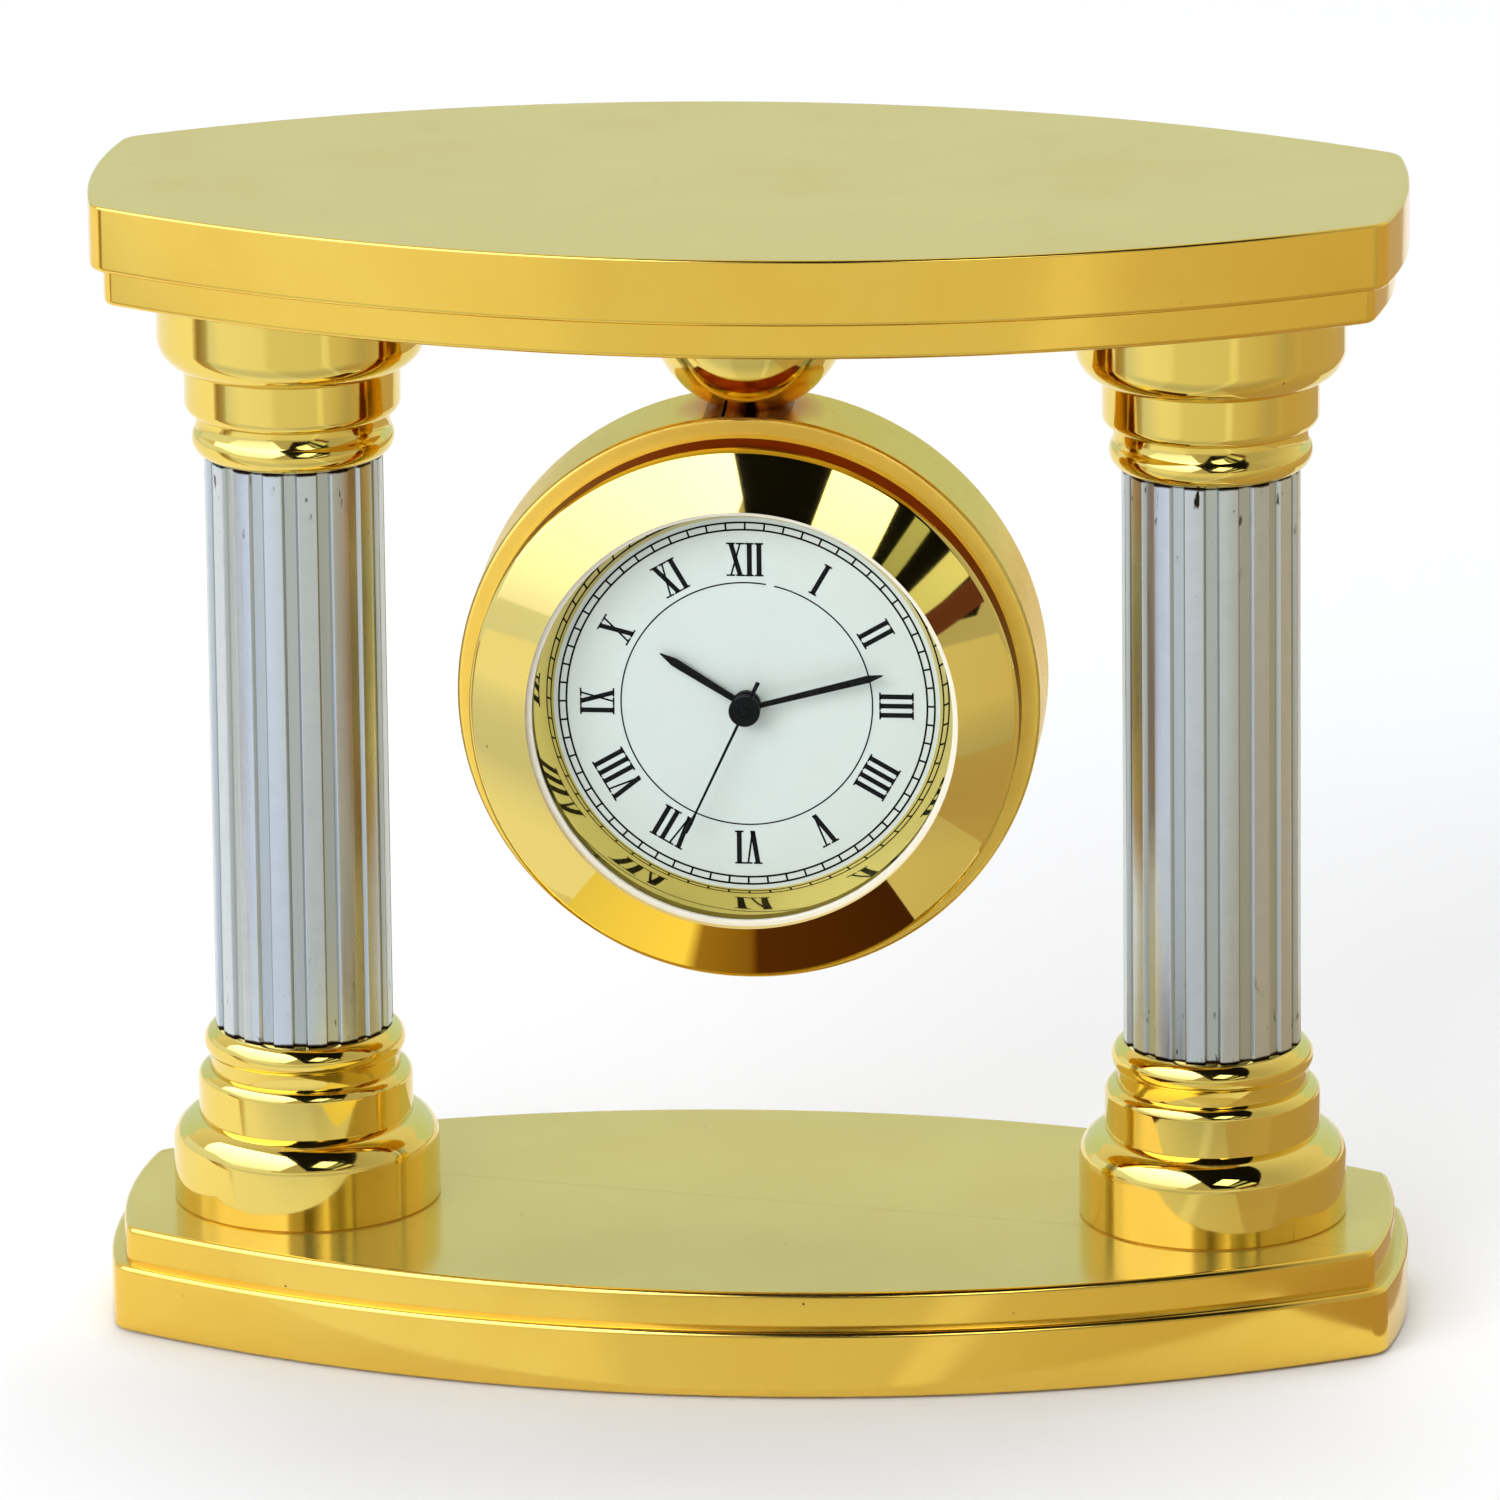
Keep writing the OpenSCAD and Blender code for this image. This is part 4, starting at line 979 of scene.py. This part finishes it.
# Studio: a white floor lit from above and in front, and cards that only the polished metal sees.
# Angles are in degrees, azimuth from straight ahead to the right.
studio = {
    "target": (0, 0, 40), "floorSize": 8000, "floorColour": "#E9EAEC",
    "airBack": "#FAF9F6", "airFront": "#F0EFEC", "backStrength": 0.9, "frontStrength": 0.6,
    # Azimuth, elevation, distance, width, height, radiance
    "lights": {
        "overheadSoftbox": (172, 66, 1600, 1040, 840, 3.9),
        "frontFill": (-26, 26, 900, 700, 500, 5.6),
    },
    # Azimuth, elevation, distance, width, height, lean, glow at the lower and the upper edge, colour
    "cards": {
        "creamSoftbox": (-54.8, 33, 900, 1560, 1010, 0, (2.0, 6.0), "#C8D0FF"),
        "leftWall": (-75, 6, 1000, 2400, 440, 0, (1.25, 1.4), "#D4E0FF"),
        "blackCard": (23.5, 47, 700, 640, 1300, 0, (0.004, 0.006), "#FFFFFF"),
        "window": (19.3, 26.3, 560, 138, 220, 28, (2.2, 4.2), "#E6ECFF"),
        "sidePane": (29.2, 18.5, 560, 36, 200, 42, (0.4, 0.7), "#F2FFE4"),
        "lowPane": (34.6, 10.6, 560, 58, 200, 53, (0.7, 1.1), "#F6FFEE"),
        "brownWall": (37.5, 6, 560, 50, 200, 60, (0.14, 0.14), "#FF9A90"),
        "backSheet": (180, 17, 2000, 4800, 1300, 0, (1.0, 1.0), "#D4EFFB"),
    },
    # How the floor in front shows in the metal, by azimuth and by distance ahead in millimetres.
    # Each stop is (place, brightness, tint).
    "frontPaper": {
        "near": -22, "size": 5000, "height": 0.1,
        "around": [
            (-110, 1.0, "#FFFFFF"), (-91, 0.95, "#FFFFFF"), (-88, 0.3, "#FFC070"), (-85, 0.85, "#FFFFFF"),
            (-81, 0.45, "#FFD090"), (-72, 0.7, "#FFF4DC"), (-69, 1.25, "#ECF0FF"), (-45, 1.16, "#F0F4FF"),
            (-24, 1.02, "#FAFCFF"), (-18, 0.84, "#FFFFFA"), (25, 0.8, "#FFFFF6"), (27, 0.98, "#FFFFFF"),
            (31, 0.95, "#FFFFFF"), (34, 0.76, "#FFFAEB"), (60, 0.68, "#FFF2D2"), (95, 0.72, "#FFF8EB")],
        # The dip between 34 and 150 mm ahead is painted shadow: the clock's own shadow on the floor, as the
        # metal mirrors it
        "ahead": [
            (0, 0.97, "#FFFFFF"), (34, 0.97, "#FFFFFF"), (56, 0.86, "#E8EEFF"), (80, 0.9, "#E8EEFF"),
            (150, 1.0, "#FFFFFF")],
    },
    # How the floor shows to the right, and what shows under the bezel, from low to high in x and y
    "flatCards": {
        "sidePaper": {"low": (46, -80), "high": (600, 60), "height": 0.1, "across": [
            (46, 0.5, "#FFE2B8"), (200, 0.62, "#FFE8C4")]},
        "sidePaperBehind": {"low": (110, 60), "high": (600, 500), "height": 0.1, "across": [
            (110, 0.56, "#FFE5BE"), (200, 0.62, "#FFE8C4")]},
        # Painted reflection: a glow from pale gold to dark orange that only the bezel's lower part mirrors
        "underBezel": {"low": (-24, -25), "high": (18.5, -11), "height": 12, "across": [
            (-24, 0.95, "#FFF2A0"), (-8, 1.25, "#FFEA90"), (-6.5, 0.4, "#FFC860"), (-1, 0.28, "#FFC050"),
            (0, 0.1, "#FF9A40"), (18.5, 0.06, "#FF9A40")]},
    },
}


def studioPlace(azimuth, elevation, distance, lean=0):
    # Where a light or card stands, and how it turns to face the clock
    azimuth, elevation = math.radians(azimuth), math.radians(elevation)
    way = Vector((math.sin(azimuth) * math.cos(elevation), -math.cos(azimuth) * math.cos(elevation),
                  math.sin(elevation)))
    place = (Vector(studio["target"]) + way * distance) * mm
    turn = way.to_track_quat("Z", "Y").to_matrix().to_4x4() @ Matrix.Rotation(-math.radians(lean), 4, "Z")
    return Matrix.Translation(place) @ turn


def makeLights():
    # These light the matt surfaces and the floor; the metal has its own cards
    for name, (azimuth, elevation, distance, width, height, radiance) in studio["lights"].items():
        lamp = bpy.data.lights.new(name, "AREA")
        lamp.shape = "RECTANGLE"
        lamp.size, lamp.size_y = width * mm, height * mm
        lamp.energy = radiance * math.pi * lamp.size * lamp.size_y
        holder = bpy.data.objects.new(name, lamp)
        scene.collection.objects.link(holder)
        holder.matrix_world = studioPlace(azimuth, elevation, distance)
        holder.visible_camera = False
        holder.visible_glossy = False


def makeAir():
    # The room's own light: brighter behind the clock than in front of it
    world = bpy.data.worlds.new("studioAir")
    scene.world = world
    world.use_nodes = True
    tree = world.node_tree
    tree.nodes.clear()
    way = addNode(tree, "TexCoord").outputs["Generated"]
    depth = addNode(tree, "SeparateXYZ", {"Vector": way}).outputs["Y"]
    back = addNode(tree, "MapRange", {"Value": depth, "From Min": -0.4, "From Max": 0.6})
    colour = addNode(tree, "MixRGB", {"Fac": back, "Color1": studio["airFront"], "Color2": studio["airBack"]})
    strength = addNode(tree, "MapRange", {
        "Value": back, "To Min": studio["frontStrength"], "To Max": studio["backStrength"]})
    addNode(tree, "OutputWorld", {
        "Surface": addNode(tree, "Background", {"Color": colour, "Strength": strength})})


def addSheet(name, width, depth, place=(0, 0, 0)):
    # A flat sheet with its size and place in its mesh
    bpy.ops.mesh.primitive_plane_add(size=1, location=[part * mm for part in place])
    sheet = bpy.context.object
    sheet.name = name
    sheet.scale = (width * mm, depth * mm, 1)
    bakePlace(sheet)
    return sheet


def makeFloor():
    floor = addSheet("paleFloor", studio["floorSize"], studio["floorSize"])
    paper = studio["floorColour"]
    floor.data.materials.append(plainFinish("white paper floor", paper, paper, (0.9, 0.95), grain=2))


def metalOnly(card, material, tree, shader):
    # A glowing card that shows in the metal alone
    addNode(tree, "OutputMaterial", {"Surface": shader})
    card.data.materials.append(material)
    for ray in ("visible_camera", "visible_diffuse", "visible_shadow", "visible_transmission"):
        setattr(card, ray, False)


def makeCards():
    for name, row in studio["cards"].items():
        azimuth, elevation, distance, width, height, lean, (lowGlow, highGlow), colour = row
        card = addSheet(name, width, height)
        material, tree, where = startMaterial(name + " glow")
        upwards = addNode(tree, "SeparateXYZ", {"Vector": where}).outputs["Y"]
        half = height * mm / 2
        glow = addNode(tree, "MapRange", {
            "Value": upwards, "From Min": -half, "From Max": half, "To Min": lowGlow, "To Max": highGlow})
        metalOnly(card, material, tree, addNode(tree, "Emission", {"Color": colour, "Strength": glow}))
        card.matrix_world = studioPlace(azimuth, elevation, distance, lean)


def paintRamp(tree, value, stops, unit):
    # A ramp over the value, whose stops are (value, brightness, tint)
    low, high = stops[0][0], stops[-1][0]
    share = addNode(tree, "MapRange", {"Value": value, "From Min": low * unit, "From Max": high * unit})
    ramp = addNode(tree, "ValToRGB", {"Fac": share})
    marks = ramp.color_ramp.elements
    marks.remove(marks[0])
    for index, (at, glow, tint) in enumerate(stops):
        place = (at - low) / (high - low)
        mark = marks[0] if index == 0 else marks.new(place)
        mark.position = place
        mark.color = [channel * glow for channel in hexColour(tint)[:3]] + [1]
    return ramp


def makeFrontPaper():
    look = studio["frontPaper"]
    paper = addSheet("frontPaper", look["size"], look["size"], (0, 0, look["height"]))
    setMode("EDIT")
    selectAll()
    bpy.ops.mesh.bisect(plane_co=(0, look["near"] * mm, 0), plane_no=(0, 1, 0), clear_outer=True)
    setMode("OBJECT")
    material, tree, where = startMaterial("front paper glow")
    parts = addNode(tree, "SeparateXYZ", {"Vector": where})
    ahead = addNode(tree, "Math", {0: parts.outputs["Y"], 1: -1}, operation="MULTIPLY")
    azimuth = addNode(tree, "Math", {0: parts.outputs["X"], 1: ahead}, operation="ARCTAN2")
    both = addNode(tree, "MixRGB", {
        "Fac": 1, "Color1": paintRamp(tree, azimuth, look["around"], math.radians(1)),
        "Color2": paintRamp(tree, ahead, look["ahead"], mm)}, blend_type="MULTIPLY")
    metalOnly(paper, material, tree, addNode(tree, "Emission", {"Color": both, "Strength": 1}))


def makeFlatCards():
    for name, look in studio["flatCards"].items():
        (left, near), (right, far) = look["low"], look["high"]
        middle = (left + right) / 2, (near + far) / 2, look["height"]
        card = addSheet(name, right - left, far - near, middle)
        material, tree, where = startMaterial(name + " glow")
        across = addNode(tree, "SeparateXYZ", {"Vector": where}).outputs["X"]
        shine = addNode(tree, "Emission", {
            "Color": paintRamp(tree, across, look["across"], mm), "Strength": 1})
        # From below it is clear, so the base doesn't mirror it
        under = addNode(tree, "NewGeometry").outputs["Backfacing"]
        clear = addNode(tree, "BsdfTransparent")
        metalOnly(card, material, tree, addNode(tree, "MixShader", {0: under, 1: shine, 2: clear}))


makeLights()
makeAir()
makeFloor()
makeCards()
makeFrontPaper()
makeFlatCards()
scene.view_settings.view_transform = "Standard"
print("studio lit")
